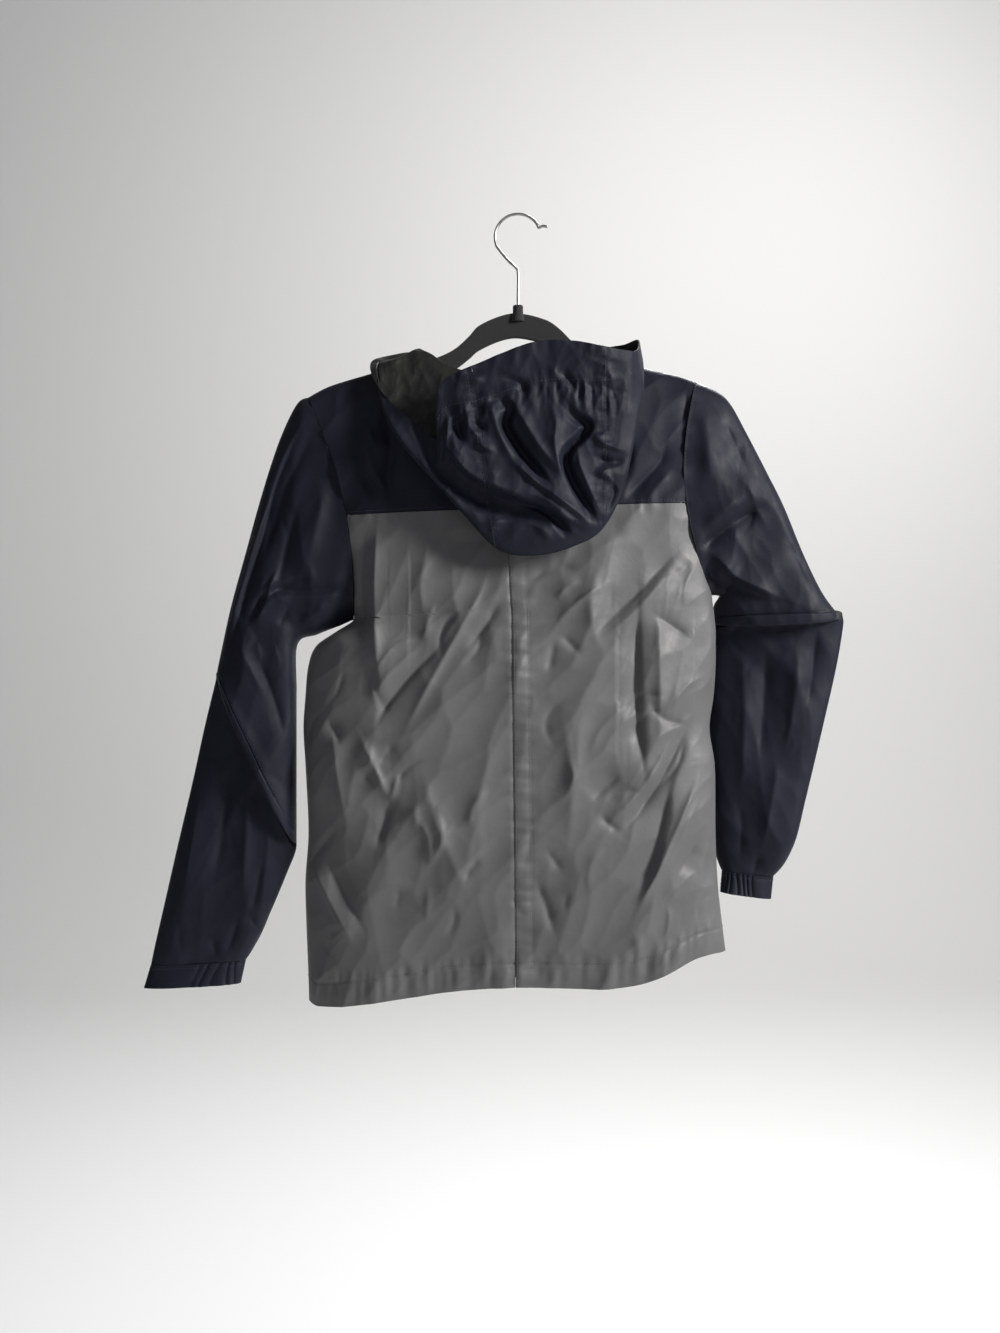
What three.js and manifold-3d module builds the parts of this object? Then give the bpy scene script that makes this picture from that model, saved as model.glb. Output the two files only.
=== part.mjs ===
// A youth rain jacket of coated nylon, hung on a slim hanger by its wire hook.
// Millimetres, +Z up. The origin is the underside of the hook's top, where a nail or rail carries it.
// The jacket's back looks towards -Y and its front, with the zip, towards +Y. The wearer's left is at -X.
// Cloth is a thin closed wall; neighbouring pieces are stretches of one surface, parted by a seam gap.
import * as THREE from "three";
import { mergeVertices } from "three/addons/utils/BufferGeometryUtils.js";
import Module from "manifold-3d";

const wasm = await Module();
wasm.setup();
const { Manifold, Mesh: ManifoldMesh } = wasm;

// ---- driving sizes ----
const CLOTH = 1; // wall of one ply
const BAND = 1.8; // wall of a turned and stitched hem
const SEAM = 0.3; // gap between neighbouring pieces
const HEM = 24; // height of the hem casing
const ROLL = { back: 7, front: 5.5 }; // radius of the cloth over the hanger's arms
const EDGE_Y = -3; // the body's side edges lie a little behind the hanger's plane
const SIDE_ROUND = 3; // how squarely a flattened ring turns at its sides
const ZIP = { gap: 9, tape: 15, tapeThick: 0.7, chain: 5, chainTop: -0.1, chainThick: 1.7, sliderAt: 0.3 };
const SLIDER = { width: 7, length: 13, thick: 1.4, raised: 0.5 };
const BRIDGE = { width: 3, length: 8, lift: 4.4, hole: 2.6, holeLength: 5.6, wall: 0.3 };
const TAB = { width: 7, length: 26, thick: 1.2, bar: 1.2, slot: 7 };
const WIRE = { radius: 1.5, loop: 23, sides: 8 };
const SHELL = { thick: 5, bevel: 0.8, boss: 5.2, socket: 2.0, socketDepth: 14 };

// ---- materials ----
const finish = (color, roughness, metalness = 0) => {
  return new THREE.MeshStandardMaterial({ color, roughness, metalness });
};
const NAVY = () => finish(0x15182a, 0.55);
const GREY = () => finish(0x5c5b5e, 0.5);
const TAPE = () => finish(0x14151f, 0.8);
const DARK_METAL = () => finish(0x33343a, 0.4, 0.6);
const BLACK = () => finish(0x101012, 0.85);
const STEEL = () => finish(0xa8a7a3, 0.3, 1);

// ---- body: its outline and depth, from the shoulders to the hem ----
// left, right: ends of the flattened ring at height z; back, front: how far it swells to each side.
const BODY = [
  { z: -140, left: -240, right: 212, back: 44, front: 20 },
  { z: -184, left: -232, right: 207, back: 44, front: 20 },
  { z: -250, left: -205, right: 197, back: 42, front: 20 },
  { z: -300, left: -190, right: 190, back: 41, front: 20 },
  { z: -350, left: -177, right: 189, back: 44, front: 20 },
  { z: -380, left: -170, right: 193, back: 46, front: 20 },
  { z: -404, left: -164, right: 196, back: 47, front: 20 },
  { z: -416, left: -181, right: 197, back: 47, front: 20 },
  { z: -430, left: -201, right: 197, back: 47, front: 20 },
  { z: -450, left: -209, right: 197, back: 48, front: 20 },
  { z: -480, left: -212, right: 195, back: 48, front: 20 },
  { z: -512, left: -214, right: 191, back: 48, front: 20 },
  { z: -548, left: -212, right: 196, back: 48, front: 20 },
  { z: -615, left: -209, right: 197, back: 47, front: 20 },
  { z: -665, left: -212, right: 199, back: 45, front: 19 },
  { z: -710, left: -211, right: 204, back: 42, front: 18 },
  { z: -760, left: -209, right: 210, back: 37, front: 17 },
  { z: -800, left: -208, right: 213, back: 34, front: 16 },
];
// Shoulder line over the hanger, bridged across the neck.
const SHOULDERS = [
  { x: -240, z: -202 },
  { x: -209, z: -182 },
  { x: -188, z: -171 },
  { x: -146, z: -158 },
  { x: -98, z: -143 },
  { x: -50, z: -138 },
  { x: 30, z: -136 },
  { x: 78, z: -140 },
  { x: 127, z: -153 },
  { x: 176, z: -166 },
  { x: 212, z: -186 },
];
const NECK_BACK = [
  { x: -98, z: -143 },
  { x: -86, z: -150 },
  { x: -70, z: -162 },
  { x: -45, z: -170 },
  { x: -10, z: -173 },
  { x: 25, z: -170 },
  { x: 50, z: -163 },
  { x: 66, z: -151 },
  { x: 78, z: -140 },
];
const NECK_FRONT = [
  { x: -98, z: -143 },
  { x: -87, z: -159 },
  { x: -71, z: -184 },
  { x: -45, z: -208 },
  { x: -10, z: -219 },
  { x: 25, z: -208 },
  { x: 55, z: -185 },
  { x: 69, z: -158 },
  { x: 78, z: -140 },
];
// Lower edge of the hem; the jacket hangs lower on its left.
const HEM_EDGE = [
  { x: -212, z: -781 },
  { x: -197, z: -787 },
  { x: -116, z: -776 },
  { x: -67, z: -768 },
  { x: -3, z: -763 },
  { x: 80, z: -765 },
  { x: 119, z: -761 },
  { x: 148, z: -750 },
  { x: 178, z: -737 },
  { x: 212, z: -733 },
];
// Armholes: ends at the shoulder and underarm, bow of the seam, and the share of it above the yoke seam.
const ARMHOLE = {
  left: { topX: -209, topZ: -182, footX: -164, footZ: -404, bow: 16, yokeAt: 0.54 },
  right: { topX: 176, topZ: -166, footX: 193, footZ: -380, bow: -22, yokeAt: 0.58 },
};
// How far round onto the back the left front panel reaches, below the underarm.
const WRAP_LEFT = [
  { z: -500, inset: 0 },
  { z: -470, inset: 3 },
  { z: -440, inset: 12 },
  { z: -425, inset: 16 },
  { z: -404, inset: 0 },
];
const CENTRE = { back: [-11, -3], front: [-9, -2] }; // x of the centre lines at the yoke seam and the hem

// Folds: a ridge (height > 0) or trough along a line, fading at both ends.
const BACK_FOLDS = [
  { x: -141, z: -312, x2: -139, z2: -484, width: 9, height: 7 },
  { x: -157, z: -330, x2: -153, z2: -465, width: 9, height: -5 },
  { x: 119, z: -385, x2: 122, z2: -556, width: 9, height: -8 },
  { x: 138, z: -420, x2: 138, z2: -520, width: 12, height: 4 },
  { x: 166, z: -322, x2: 80, z2: -421, width: 9, height: -5 },
  { x: -13, z: -350, x2: -115, z2: -523, width: 8, height: 3 },
  { x: -18, z: -388, x2: -82, z2: -474, width: 8, height: -4 },
  { x: -183, z: -523, x2: -163, z2: -629, width: 14, height: 6 },
  { x: -157, z: -523, x2: -127, z2: -581, width: 8, height: -6 },
  { x: -115, z: -581, x2: -139, z2: -629, width: 8, height: -5 },
  { x: -193, z: -649, x2: -144, z2: -726, width: 11, height: -5 },
  { x: 161, z: -513, x2: 98, z2: -610, width: 10, height: -7 },
  { x: 149, z: -571, x2: 118, z2: -697, width: 10, height: -5 },
  { x: 137, z: -406, x2: 166, z2: -426, width: 7, height: -4 },
  { x: -18, z: -629, x2: -47, z2: -707, width: 11, height: -4 },
  { x: 16, z: -658, x2: 42, z2: -717, width: 10, height: -4 },
  { x: 60, z: -470, x2: 70, z2: -600, width: 14, height: 3 },
  { x: -70, z: -560, x2: -90, z2: -680, width: 16, height: 3 },
  { x: -157, z: -235, x2: -140, z2: -305, width: 8, height: -4 },
  { x: 128, z: -232, x2: 100, z2: -310, width: 9, height: -5 },
];
const FRONT_FOLDS = [
  { x: -120, z: -330, x2: -132, z2: -520, width: 12, height: 4 },
  { x: 108, z: -340, x2: 118, z2: -500, width: 12, height: -4 },
  { x: -160, z: -430, x2: -80, z2: -560, width: 10, height: -4 },
  { x: 150, z: -410, x2: 70, z2: -540, width: 10, height: 4 },
  { x: -100, z: -590, x2: -130, z2: -700, width: 14, height: 4 },
  { x: 60, z: -580, x2: 90, z2: -700, width: 13, height: -4 },
];

// ---- sleeves: rows from armhole to cuff, each a flattened ring from its outer to its inner edge ----
// ox, oy, oz: outer edge; ix, iy, iz: inner edge; back, front: half depth each way;
// bow: bulge towards the body.
const SLEEVE = {
  left: [
    { ox: -209, oy: 0, oz: -182, ix: -164, iy: -3, iz: -404, back: 24, front: 15, bow: 16 },
    { ox: -221, oy: 0, oz: -189, ix: -177, iy: -3, iz: -410, back: 25, front: 15, bow: 9 },
    { ox: -238, oy: -1, oz: -225, ix: -200, iy: -3, iz: -419, back: 25, front: 15, bow: 4 },
    { ox: -256, oy: -2, oz: -281, ix: -220, iy: -3, iz: -429, back: 24, front: 15, bow: 0 },
    { ox: -271, oy: -2, oz: -335, ix: -221, iy: -3, iz: -475, back: 23, front: 14, bow: 0 },
    { ox: -286, oy: -2, oz: -390, ix: -221, iy: -3, iz: -525, back: 23, front: 13, bow: 0 },
    { ox: -297, oy: -2, oz: -440, ix: -221, iy: -3, iz: -580, back: 25, front: 12, bow: 0 },
    { ox: -300, oy: -2, oz: -455, ix: -221, iy: -3, iz: -618, back: 27, front: 12, bow: 0 },
    { ox: -302, oy: -1, oz: -465, ix: -222, iy: -2, iz: -635, back: 17, front: 12, bow: 0 },
    { ox: -313, oy: 0, oz: -510, ix: -230, iy: 0, iz: -655, back: 16, front: 13, bow: 0 },
    { ox: -325, oy: 0, oz: -565, ix: -239, iy: 0, iz: -677, back: 17, front: 14, bow: 0 },
    { ox: -339, oy: 0, oz: -625, ix: -248, iy: 0, iz: -698, back: 18, front: 14, bow: 0 },
    { ox: -352, oy: 0, oz: -682, ix: -256, iy: 0, iz: -717, back: 17, front: 14, bow: 0 },
    { ox: -363, oy: 0, oz: -730, ix: -266, iy: 0, iz: -735, back: 14, front: 12, bow: 0 },
    { ox: -367, oy: 0, oz: -749, ix: -272, iy: 0, iz: -744, back: 11, front: 10, bow: 0 },
  ],
  right: [
    { ox: 176, oy: 0, oz: -166, ix: 193, iy: -3, iz: -380, back: 24, front: 15, bow: -22 },
    { ox: 200, oy: 0, oz: -177, ix: 197, iy: -3, iz: -380, back: 26, front: 15, bow: -14 },
    { ox: 213, oy: 0, oz: -190, ix: 201, iy: -3, iz: -380.5, back: 26, front: 15, bow: -8 },
    { ox: 228, oy: -1, oz: -218, ix: 205, iy: -2, iz: -381, back: 25, front: 15, bow: -4 },
    { ox: 247, oy: -2, oz: -255, ix: 202.5, iy: -1, iz: -382, back: 22, front: 15, bow: 0 },
    { ox: 265, oy: -2, oz: -291, ix: 199.5, iy: 2, iz: -384.5, back: 20, front: 15, bow: 0 },
    { ox: 283, oy: -2, oz: -335, ix: 197.5, iy: 6, iz: -388, back: 23, front: 14, bow: 0 },
    { ox: 302, oy: -2, oz: -375, ix: 196, iy: 10, iz: -394, back: 26, front: 12, bow: 0 },
    { ox: 318, oy: -1, oz: -397, ix: 195, iy: 13, iz: -402, back: 27, front: 10, bow: 0 },
    { ox: 325, oy: 0, oz: -403, ix: 194.5, iy: 14, iz: -412, back: 17, front: 11, bow: 0 },
    { ox: 324, oy: 1, oz: -420, ix: 195, iy: 14, iz: -430, back: 14, front: 12, bow: 0 },
    { ox: 318, oy: 2, oz: -455, ix: 193, iy: 15, iz: -463, back: 15, front: 12, bow: 0 },
    { ox: 309, oy: 2, oz: -495, ix: 189, iy: 15, iz: -500, back: 16, front: 12, bow: 0 },
    { ox: 298, oy: 2, oz: -542, ix: 192, iy: 15, iz: -545, back: 17, front: 12, bow: 0 },
    { ox: 287, oy: 2, oz: -588, ix: 194, iy: 15, iz: -590, back: 17, front: 12, bow: 0 },
    { ox: 278, oy: 2, oz: -624, ix: 196, iy: 14, iz: -626, back: 16, front: 12, bow: 0 },
    { ox: 267, oy: 3, oz: -648, ix: 201, iy: 11, iz: -646, back: 13, front: 11, bow: 0 },
    { ox: 256, oy: 4, oz: -661, ix: 205, iy: 8, iz: -656, back: 10, front: 10, bow: 0 },
  ],
};
const SLEEVE_FOLDS = {
  left: [
    { x: -232, z: -300, x2: -252, z2: -400, width: 12, height: -5 },
    { x: -206, z: -250, x2: -214, z2: -360, width: 12, height: 4 },
    { x: -245, z: -430, x2: -262, z2: -560, width: 12, height: -5 },
    { x: -283, z: -560, x2: -292, z2: -700, width: 12, height: -4 },
    { x: -310, z: -600, x2: -330, z2: -715, width: 10, height: 4 },
    { x: -240, z: -372, x2: -185, z2: -380, width: 8, height: -4 },
  ],
  right: [
    { x: 172, z: -345, x2: 250, z2: -298, width: 9, height: -8 },
    { x: 196, z: -345, x2: 262, z2: -384, width: 10, height: 6 },
    { x: 215, z: -300, x2: 262, z2: -330, width: 10, height: 5 },
    { x: 305, z: -410, x2: 292, z2: -500, width: 10, height: -5 },
    { x: 250, z: -440, x2: 240, z2: -600, width: 12, height: 4 },
    { x: 270, z: -450, x2: 262, z2: -580, width: 10, height: -4 },
  ],
};
// Cuffs: lower ring, depth, how many gathers go round, and the share of the ring where they start.
const CUFF = {
  left: { ox: -374, oz: -772, ix: -277, iz: -767, y: 0, back: 12, front: 10, gathers: 12, from: 0.45 },
  right: { ox: 254, oz: -684, ix: 203, iz: -677, y: 6, back: 11, front: 10, gathers: 12, from: 0.35 },
};

// ---- hood: sections from the neck seam, by way of the pouch's fold, to the face edge ----
// neck: x on the neckline; facing: -1 on the back neck, 1 on the front;
// rise: height of the roll over the seam; fold: radius of the pouch's fold;
// cx, cy, cz: the fold; fx, fy, fz: the face edge.
const HOOD = [
  { neck: -13.5, facing: 1, rise: 6, fold: 2, cx: -16, cy: 20, cz: -192, fx: -18, fy: 19, fz: -165 },
  { neck: -46, facing: 1, rise: 6, fold: 2, cx: -54, cy: 24, cz: -178, fx: -62, fy: 22, fz: -150 },
  { neck: -75, facing: 1, rise: 6, fold: 2, cx: -89, cy: 24, cz: -164, fx: -99, fy: 18, fz: -134 },
  { neck: -91, facing: 1, rise: 6, fold: 2, cx: -115, cy: 16, cz: -149, fx: -125, fy: 10, fz: -137 },
  { neck: -98, facing: -1, rise: 8, fold: 1, cx: -136, cy: 0, cz: -147, fx: -147, fy: -4, fz: -149 },
  { neck: -94, facing: -1, rise: 8, fold: 2, cx: -138, cy: -20, cz: -166, fx: -136, fy: -34, fz: -180 },
  { neck: -86, facing: -1, rise: 8, fold: 5, cx: -130, cy: -38, cz: -205, fx: -112, fy: -51, fz: -206 },
  { neck: -76, facing: -1, rise: 8, fold: 6, cx: -110, cy: -52, cz: -240, fx: -87, fy: -60, fz: -228 },
  { neck: -66, facing: -1, rise: 8, fold: 6, cx: -86, cy: -58, cz: -268, fx: -77, fy: -66, fz: -232 },
  { neck: -56, facing: -1, rise: 8, fold: 6, cx: -70, cy: -60, cz: -286, fx: -80, fy: -70, fz: -203 },
  { neck: -45, facing: -1, rise: 8, fold: 6, cx: -50, cy: -61, cz: -309, fx: -72, fy: -72, fz: -179 },
  { neck: -32, facing: -1, rise: 8, fold: 6, cx: -18, cy: -61, cz: -340, fx: -45, fy: -74, fz: -165 },
  { neck: -8, facing: -1, rise: 8, fold: 6, cx: 20, cy: -61, cz: -344, fx: 12, fy: -75, fz: -143 },
  { neck: 20, facing: -1, rise: 8, fold: 6, cx: 54, cy: -60, cz: -335, fx: 50, fy: -75, fz: -141 },
  { neck: 40, facing: -1, rise: 8, fold: 6, cx: 80, cy: -58, cz: -319, fx: 78, fy: -73, fz: -146 },
  { neck: 54, facing: -1, rise: 8, fold: 6, cx: 100, cy: -55, cz: -280, fx: 104, fy: -66, fz: -149 },
  { neck: 66, facing: -1, rise: 8, fold: 6, cx: 113, cy: -46, cz: -220, fx: 113, fy: -54, fz: -147 },
  { neck: 74, facing: -1, rise: 8, fold: 5, cx: 121, cy: -28, cz: -178, fx: 118, fy: -36, fz: -139 },
  { neck: 78, facing: -1, rise: 8, fold: 2, cx: 118, cy: -3, cz: -142, fx: 119, fy: -12, fz: -127 },
  { neck: 72, facing: 1, rise: 6, fold: 2, cx: 100, cy: 16, cz: -143, fx: 108, fy: 8, fz: -127 },
  { neck: 56, facing: 1, rise: 6, fold: 2, cx: 72, cy: 24, cz: -158, fx: 82, fy: 20, fz: -130 },
  { neck: 28, facing: 1, rise: 6, fold: 2, cx: 36, cy: 25, cz: -180, fx: 44, fy: 23, fz: -146 },
  { neck: -4.5, facing: 1, rise: 6, fold: 2, cx: -2, cy: 20, cz: -192, fx: 0, fy: 19, fz: -165 },
];
// Folds of the hood's outer layer.
const HOOD_FOLDS = [
  { x: -62, z: -244, x2: 26, z2: -300, width: 7, height: -6 },
  { x: -58, z: -226, x2: 40, z2: -288, width: 9, height: 4 },
  { x: -14, z: -200, x2: 22, z2: -268, width: 8, height: -4 },
  { x: 52, z: -214, x2: 62, z2: -296, width: 8, height: -4 },
  { x: 82, z: -232, x2: 104, z2: -242, width: 7, height: 3 },
];
const HOOD_SEAMS = { left: 11, right: 14 }; // the sections where the centre panel ends
const HOOD_ROUND = { x: 140, y: 30 }; // half sizes of the ellipse the hood's rings follow
const HOOD_CLEAR = 2.5; // how far the hood lies off the back

// ---- hanger and hook, in the plane y = 0 ----
const HANGER_ARMS = [
  { x: -208, top: -186.5, height: 13 },
  { x: -188, top: -174.5, height: 16 },
  { x: -146, top: -161.5, height: 18 },
  { x: -98, top: -148, height: 18 },
  { x: -79, top: -141.5, height: 20 },
  { x: -63, top: -133.5, height: 21 },
  { x: -49, top: -121, height: 23 },
  { x: -40, top: -111, height: 25 },
  { x: -17, top: -100.5, height: 25 },
  { x: 1, top: -98, height: 25 },
  { x: 29, top: -105, height: 25 },
  { x: 42, top: -114, height: 25 },
  { x: 56, top: -128, height: 22 },
  { x: 78, top: -145.5, height: 18 },
  { x: 127, top: -156.5, height: 18 },
  { x: 176, top: -169.5, height: 16 },
  { x: 200, top: -182, height: 13 },
];
const BOSS = { top: -90, foot: -106 };
const HOOK_TIP = [
  { x: 30, z: -11.6 },
  { x: 25, z: -10.6 },
];
const HOOK_TAIL = [
  { x: -19.2, z: -33 },
  { x: -10.4, z: -44.6 },
  { x: -2.6, z: -51.8 },
  { x: 0, z: -57 },
];

// ---- small helpers ----
const lerp = (a, b, t) => a + (b - a) * t;
const clamp = (x, lo, hi) => Math.min(hi, Math.max(lo, x));
const steps = (from, to, count) => Array.from({ length: count + 1 }, (_, i) => lerp(from, to, i / count));
const join = (...lists) => lists.reduce((all, next) => [...all, ...next.slice(1)]);
const valueOf = (x, u, v) => (typeof x === "function" ? x(u, v) : x);

/** A column of a table where another column has the value `at`, on a smooth curve through its rows. */
function read(table, by, at, column) {
  const rows = table[0][by] > table[table.length - 1][by] ? [...table].reverse() : table;
  let i = 0;
  while (i < rows.length - 2 && at > rows[i + 1][by]) i++;
  const slope = (k) => {
    const a = rows[Math.max(k - 1, 0)];
    const b = rows[Math.min(k + 1, rows.length - 1)];
    return (b[column] - a[column]) / (b[by] - a[by]);
  };
  const [a, b] = [rows[i], rows[i + 1]];
  const h = b[by] - a[by];
  const t = clamp((at - a[by]) / h, 0, 1);
  const whole = a[column] + (b[column] - a[column]) * t * t * (3 - 2 * t);
  return whole + h * t * (1 - t) * (slope(i) * (1 - t) - slope(i + 1) * t);
}

/** Values along a list, on a smooth curve through them; `at` counts from 0 at the first. */
function smooth(values, at) {
  const last = values.length - 1;
  const i = clamp(Math.floor(at), 0, last - 1);
  const t = at - i;
  const [a, b, c, d] = [-1, 0, 1, 2].map((k) => values[clamp(i + k, 0, last)]);
  const bend = (2 * a - 5 * b + 4 * c - d) * t * t + (3 * b - a - 3 * c + d) * t ** 3;
  return 0.5 * (2 * b + (c - a) * t + bend);
}

/** Sum of a table of folds at a point of the front view. */
function folded(folds, x, z) {
  let sum = 0;
  for (const f of folds) {
    const [dx, dz] = [f.x2 - f.x, f.z2 - f.z];
    const length = Math.hypot(dx, dz);
    const along = ((x - f.x) * dx + (z - f.z) * dz) / length / length;
    const off = ((x - f.x) * dz - (z - f.z) * dx) / length;
    const past = Math.max(0, -along, along - 1) * length;
    const taper = Math.sin(Math.PI * clamp(along, 0.15, 0.85));
    sum += f.height * taper * Math.exp(-((off / f.width) ** 2) - (past / (1.5 * f.width)) ** 2);
  }
  return sum;
}

/**
 * A closed wall on the surface place(u, v): its outer face is raised by `top`, and its inner one lies
 * `thick` lower. us and vs are the grid lines; `round` joins the last column to the first;
 * `side` (+1 or -1) points outwards.
 */
function wall({ place, us, vs, thick = CLOTH, top = 0, side = 1, round = false }) {
  const eps = 1e-3;
  const grid = vs.map((v) => us.map((u) => place(u, v)));
  const [u0, u1] = [Math.min(us[0], us.at(-1)), Math.max(us[0], us.at(-1))];
  const [v0, v1] = [vs[0], vs.at(-1)];
  const along = us[0] > us.at(-1) ? -1 : 1;
  const towards = (from, to) => to.clone().sub(from).normalize();
  const slope = (before, p, after) => towards(p, after).add(towards(before, p));
  const [outer, inner] = [[], []];
  for (const [i, v] of vs.entries()) {
    for (const [j, u] of us.entries()) {
      const p = grid[i][j];
      const edgeU = !round && (j === 0 || j === us.length - 1);
      const edgeV = i === 0 || i === vs.length - 1;
      const du = edgeU
        ? place(Math.min(u + eps, u1), v).sub(place(Math.max(u - eps, u0), v))
        : slope(grid[i].at(j - 1), p, grid[i][(j + 1) % us.length]).multiplyScalar(along);
      const dv = edgeV
        ? place(u, Math.min(v + eps, v1)).sub(place(u, Math.max(v - eps, v0)))
        : slope(grid[i - 1][j], p, grid[i + 1][j]);
      const normal = du.cross(dv).normalize().multiplyScalar(side);
      const lift = valueOf(top, u, v);
      outer.push(p.clone().addScaledVector(normal, lift));
      inner.push(p.clone().addScaledVector(normal, lift - valueOf(thick, u, v)));
    }
  }
  const [cols, rows] = [us.length, vs.length];
  const across = round ? cols : cols - 1;
  const under = cols * rows;
  const outwards = us[0] > us.at(-1) ? -side : side;
  const faces = [];
  const quad = (a, b, c, d) => faces.push(...(outwards > 0 ? [a, b, c, a, c, d] : [a, c, b, a, d, c]));
  const last = (rows - 1) * cols;
  for (let j = 0; j < across; j++) {
    const k = (j + 1) % cols;
    for (let i = 0; i < rows - 1; i++) {
      const [a, b, c, d] = [i * cols + j, i * cols + k, (i + 1) * cols + k, (i + 1) * cols + j];
      quad(a, b, c, d);
      quad(a + under, d + under, c + under, b + under);
    }
    quad(k, j, j + under, k + under);
    quad(last + j, last + k, last + k + under, last + j + under);
  }
  for (let i = 0; i < rows - 1 && !round; i++) {
    const [a, b] = [i * cols, (i + 1) * cols];
    quad(a, b, b + under, a + under);
    quad(b + cols - 1, a + cols - 1, a + cols - 1 + under, b + cols - 1 + under);
  }
  const geometry = new THREE.BufferGeometry();
  const flat = [...outer, ...inner].flatMap((p) => [p.x, p.y, p.z]);
  geometry.setAttribute("position", new THREE.Float32BufferAttribute(flat, 3));
  geometry.setIndex(faces);
  return geometry;
}

/** A round wire along a path in the plane y = 0. */
function wire(path, radius, sides, count) {
  const points = path.map((p) => new THREE.Vector3(p.x, 0, p.z));
  const curve = new THREE.CatmullRomCurve3(points, false, "centripetal");
  const turns = steps(0, 2 * Math.PI, sides).slice(0, -1);
  const ring = turns.map((a) => new THREE.Vector2(radius * Math.cos(a), radius * Math.sin(a)));
  const section = new THREE.Shape(ring);
  return new THREE.ExtrudeGeometry(section, { steps: count, extrudePath: curve, bevelEnabled: false });
}

/** An upright plate: an outline of (x, z) points, thick in y and centred on y = 0. */
function plate(outline, thick, bevel) {
  const shape = new THREE.Shape(outline.map(([x, z]) => new THREE.Vector2(x, z)));
  const depth = thick - 2 * bevel;
  const edge = { bevelEnabled: bevel > 0, bevelSize: bevel, bevelThickness: bevel, bevelOffset: -bevel };
  const geometry = new THREE.ExtrudeGeometry(shape, { depth, ...edge, bevelSegments: 1, curveSegments: 4 });
  return geometry.translate(0, 0, -depth / 2).rotateX(Math.PI / 2);
}

const solid = (geometry) => {
  geometry.deleteAttribute("normal");
  geometry.deleteAttribute("uv");
  const merged = mergeVertices(geometry, 1e-4);
  const vertProperties = Float32Array.from(merged.attributes.position.array);
  const triVerts = Uint32Array.from(merged.index.array);
  return new Manifold(new ManifoldMesh({ numProp: 3, vertProperties, triVerts }));
};
const surface = (body) => {
  const mesh = body.getMesh();
  const geometry = new THREE.BufferGeometry();
  const places = Array.from(mesh.vertProperties);
  geometry.setAttribute("position", new THREE.Float32BufferAttribute(places, 3));
  geometry.setIndex(Array.from(mesh.triVerts));
  return geometry;
};

const part = new THREE.Group();
function add(name, geometry, material) {
  const mesh = new THREE.Mesh(geometry, material);
  mesh.name = name;
  part.add(mesh);
}

// ---- the body's surface ----
const bodyAt = (z, column) => read(BODY, "z", z, column);
const shoulderZ = (x) => read(SHOULDERS, "x", x, "z");
const hemZ = (x) => read(HEM_EDGE, "x", x, "z");

/**
 * Depth of the back (facing -1) or front (+1) sheet at a point of the front view;
 * `row` is its share of a row.
 */
function bodyY(x, z, facing, row = null) {
  const drop = Math.max(0, shoulderZ(x) - z);
  const rise = Math.sqrt(2 * (facing < 0 ? ROLL.back : ROLL.front) * drop);
  const [left, right] = [bodyAt(z, "left"), bodyAt(z, "right")];
  const across = 2 * clamp(row ?? (x - left) / (right - left), 0, 1) - 1;
  const depth = bodyAt(z, facing < 0 ? "back" : "front") + facing * EDGE_Y;
  const swell = depth * Math.sqrt(1 - Math.abs(across) ** SIDE_ROUND);
  const level = rise / (1 + (rise / Math.max(swell, 0.01)) ** 4) ** 0.25;
  const folds = folded(facing < 0 ? BACK_FOLDS : FRONT_FOLDS, x, z) * clamp(level / 15, 0, 1);
  return EDGE_Y * clamp(drop / 60, 0, 1) + facing * (level + folds + SEAM / 2);
}

/** How far an armhole's bow has swung in at a share of the way down it. */
const bowAt = (share) => Math.sin(Math.PI * clamp(share, 0, 1)) ** (share > 0.5 ? 0.85 : 1);

/** A point of an armhole seam in the front view, at a share of the way down it. */
function armhole(side, share) {
  const { topX, topZ, footX, footZ, bow } = ARMHOLE[side];
  const shift = bow * bowAt(share);
  return { x: lerp(topX, footX, share) + shift, z: lerp(topZ, footZ, share) };
}
const yokeTurn = (side) => Math.acos(1 - 2 * ARMHOLE[side].yokeAt);
const shareDown = (side, v) => {
  const turn = v <= 1 ? yokeTurn(side) * v : lerp(yokeTurn(side), Math.PI, v - 1);
  return (1 - Math.cos(turn)) / 2;
};

/**
 * Ends of a row: v = 0 at the shoulder, 1 at the yoke seam, 2 at the underarm,
 * 3 at the hem stitching, 4 at its edge.
 */
function rowEnds(v) {
  return ["left", "right"].map((side) => {
    if (v <= 2) return armhole(side, shareDown(side, v));
    const low = hemZ(side === "left" ? -212 : 212);
    const z = v <= 3 ? lerp(ARMHOLE[side].footZ, low + HEM, v - 2) : low + HEM * (4 - v);
    return { x: bodyAt(z, side), z };
  });
}

/** A point of the body, at a share f of the row from its left end to its right end. */
function bodyPoint(f, v, facing) {
  const [a, b] = rowEnds(v);
  const x = lerp(a.x, b.x, f);
  let z = lerp(a.z, b.z, f);
  if (v < 1) {
    const [a0, b0] = rowEnds(0);
    const x0 = lerp(a0.x, b0.x, f);
    const neck = facing < 0 ? NECK_BACK : NECK_FRONT;
    const inNeck = x0 > neck[0].x && x0 < neck.at(-1).x;
    const top = inNeck ? read(neck, "x", x0, "z") : shoulderZ(x0);
    const left = 1 - shareDown("left", v) / ARMHOLE.left.yokeAt;
    z += left ** 1.2 * (top - lerp(a0.z, b0.z, f));
  }
  if (v > 2) z += clamp(v - 2, 0, 1) ** 1.5 * (hemZ(x) - lerp(hemZ(-212), hemZ(212), f));
  return new THREE.Vector3(x, bodyY(x, z, facing, v > 2 ? f : null), z);
}

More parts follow.
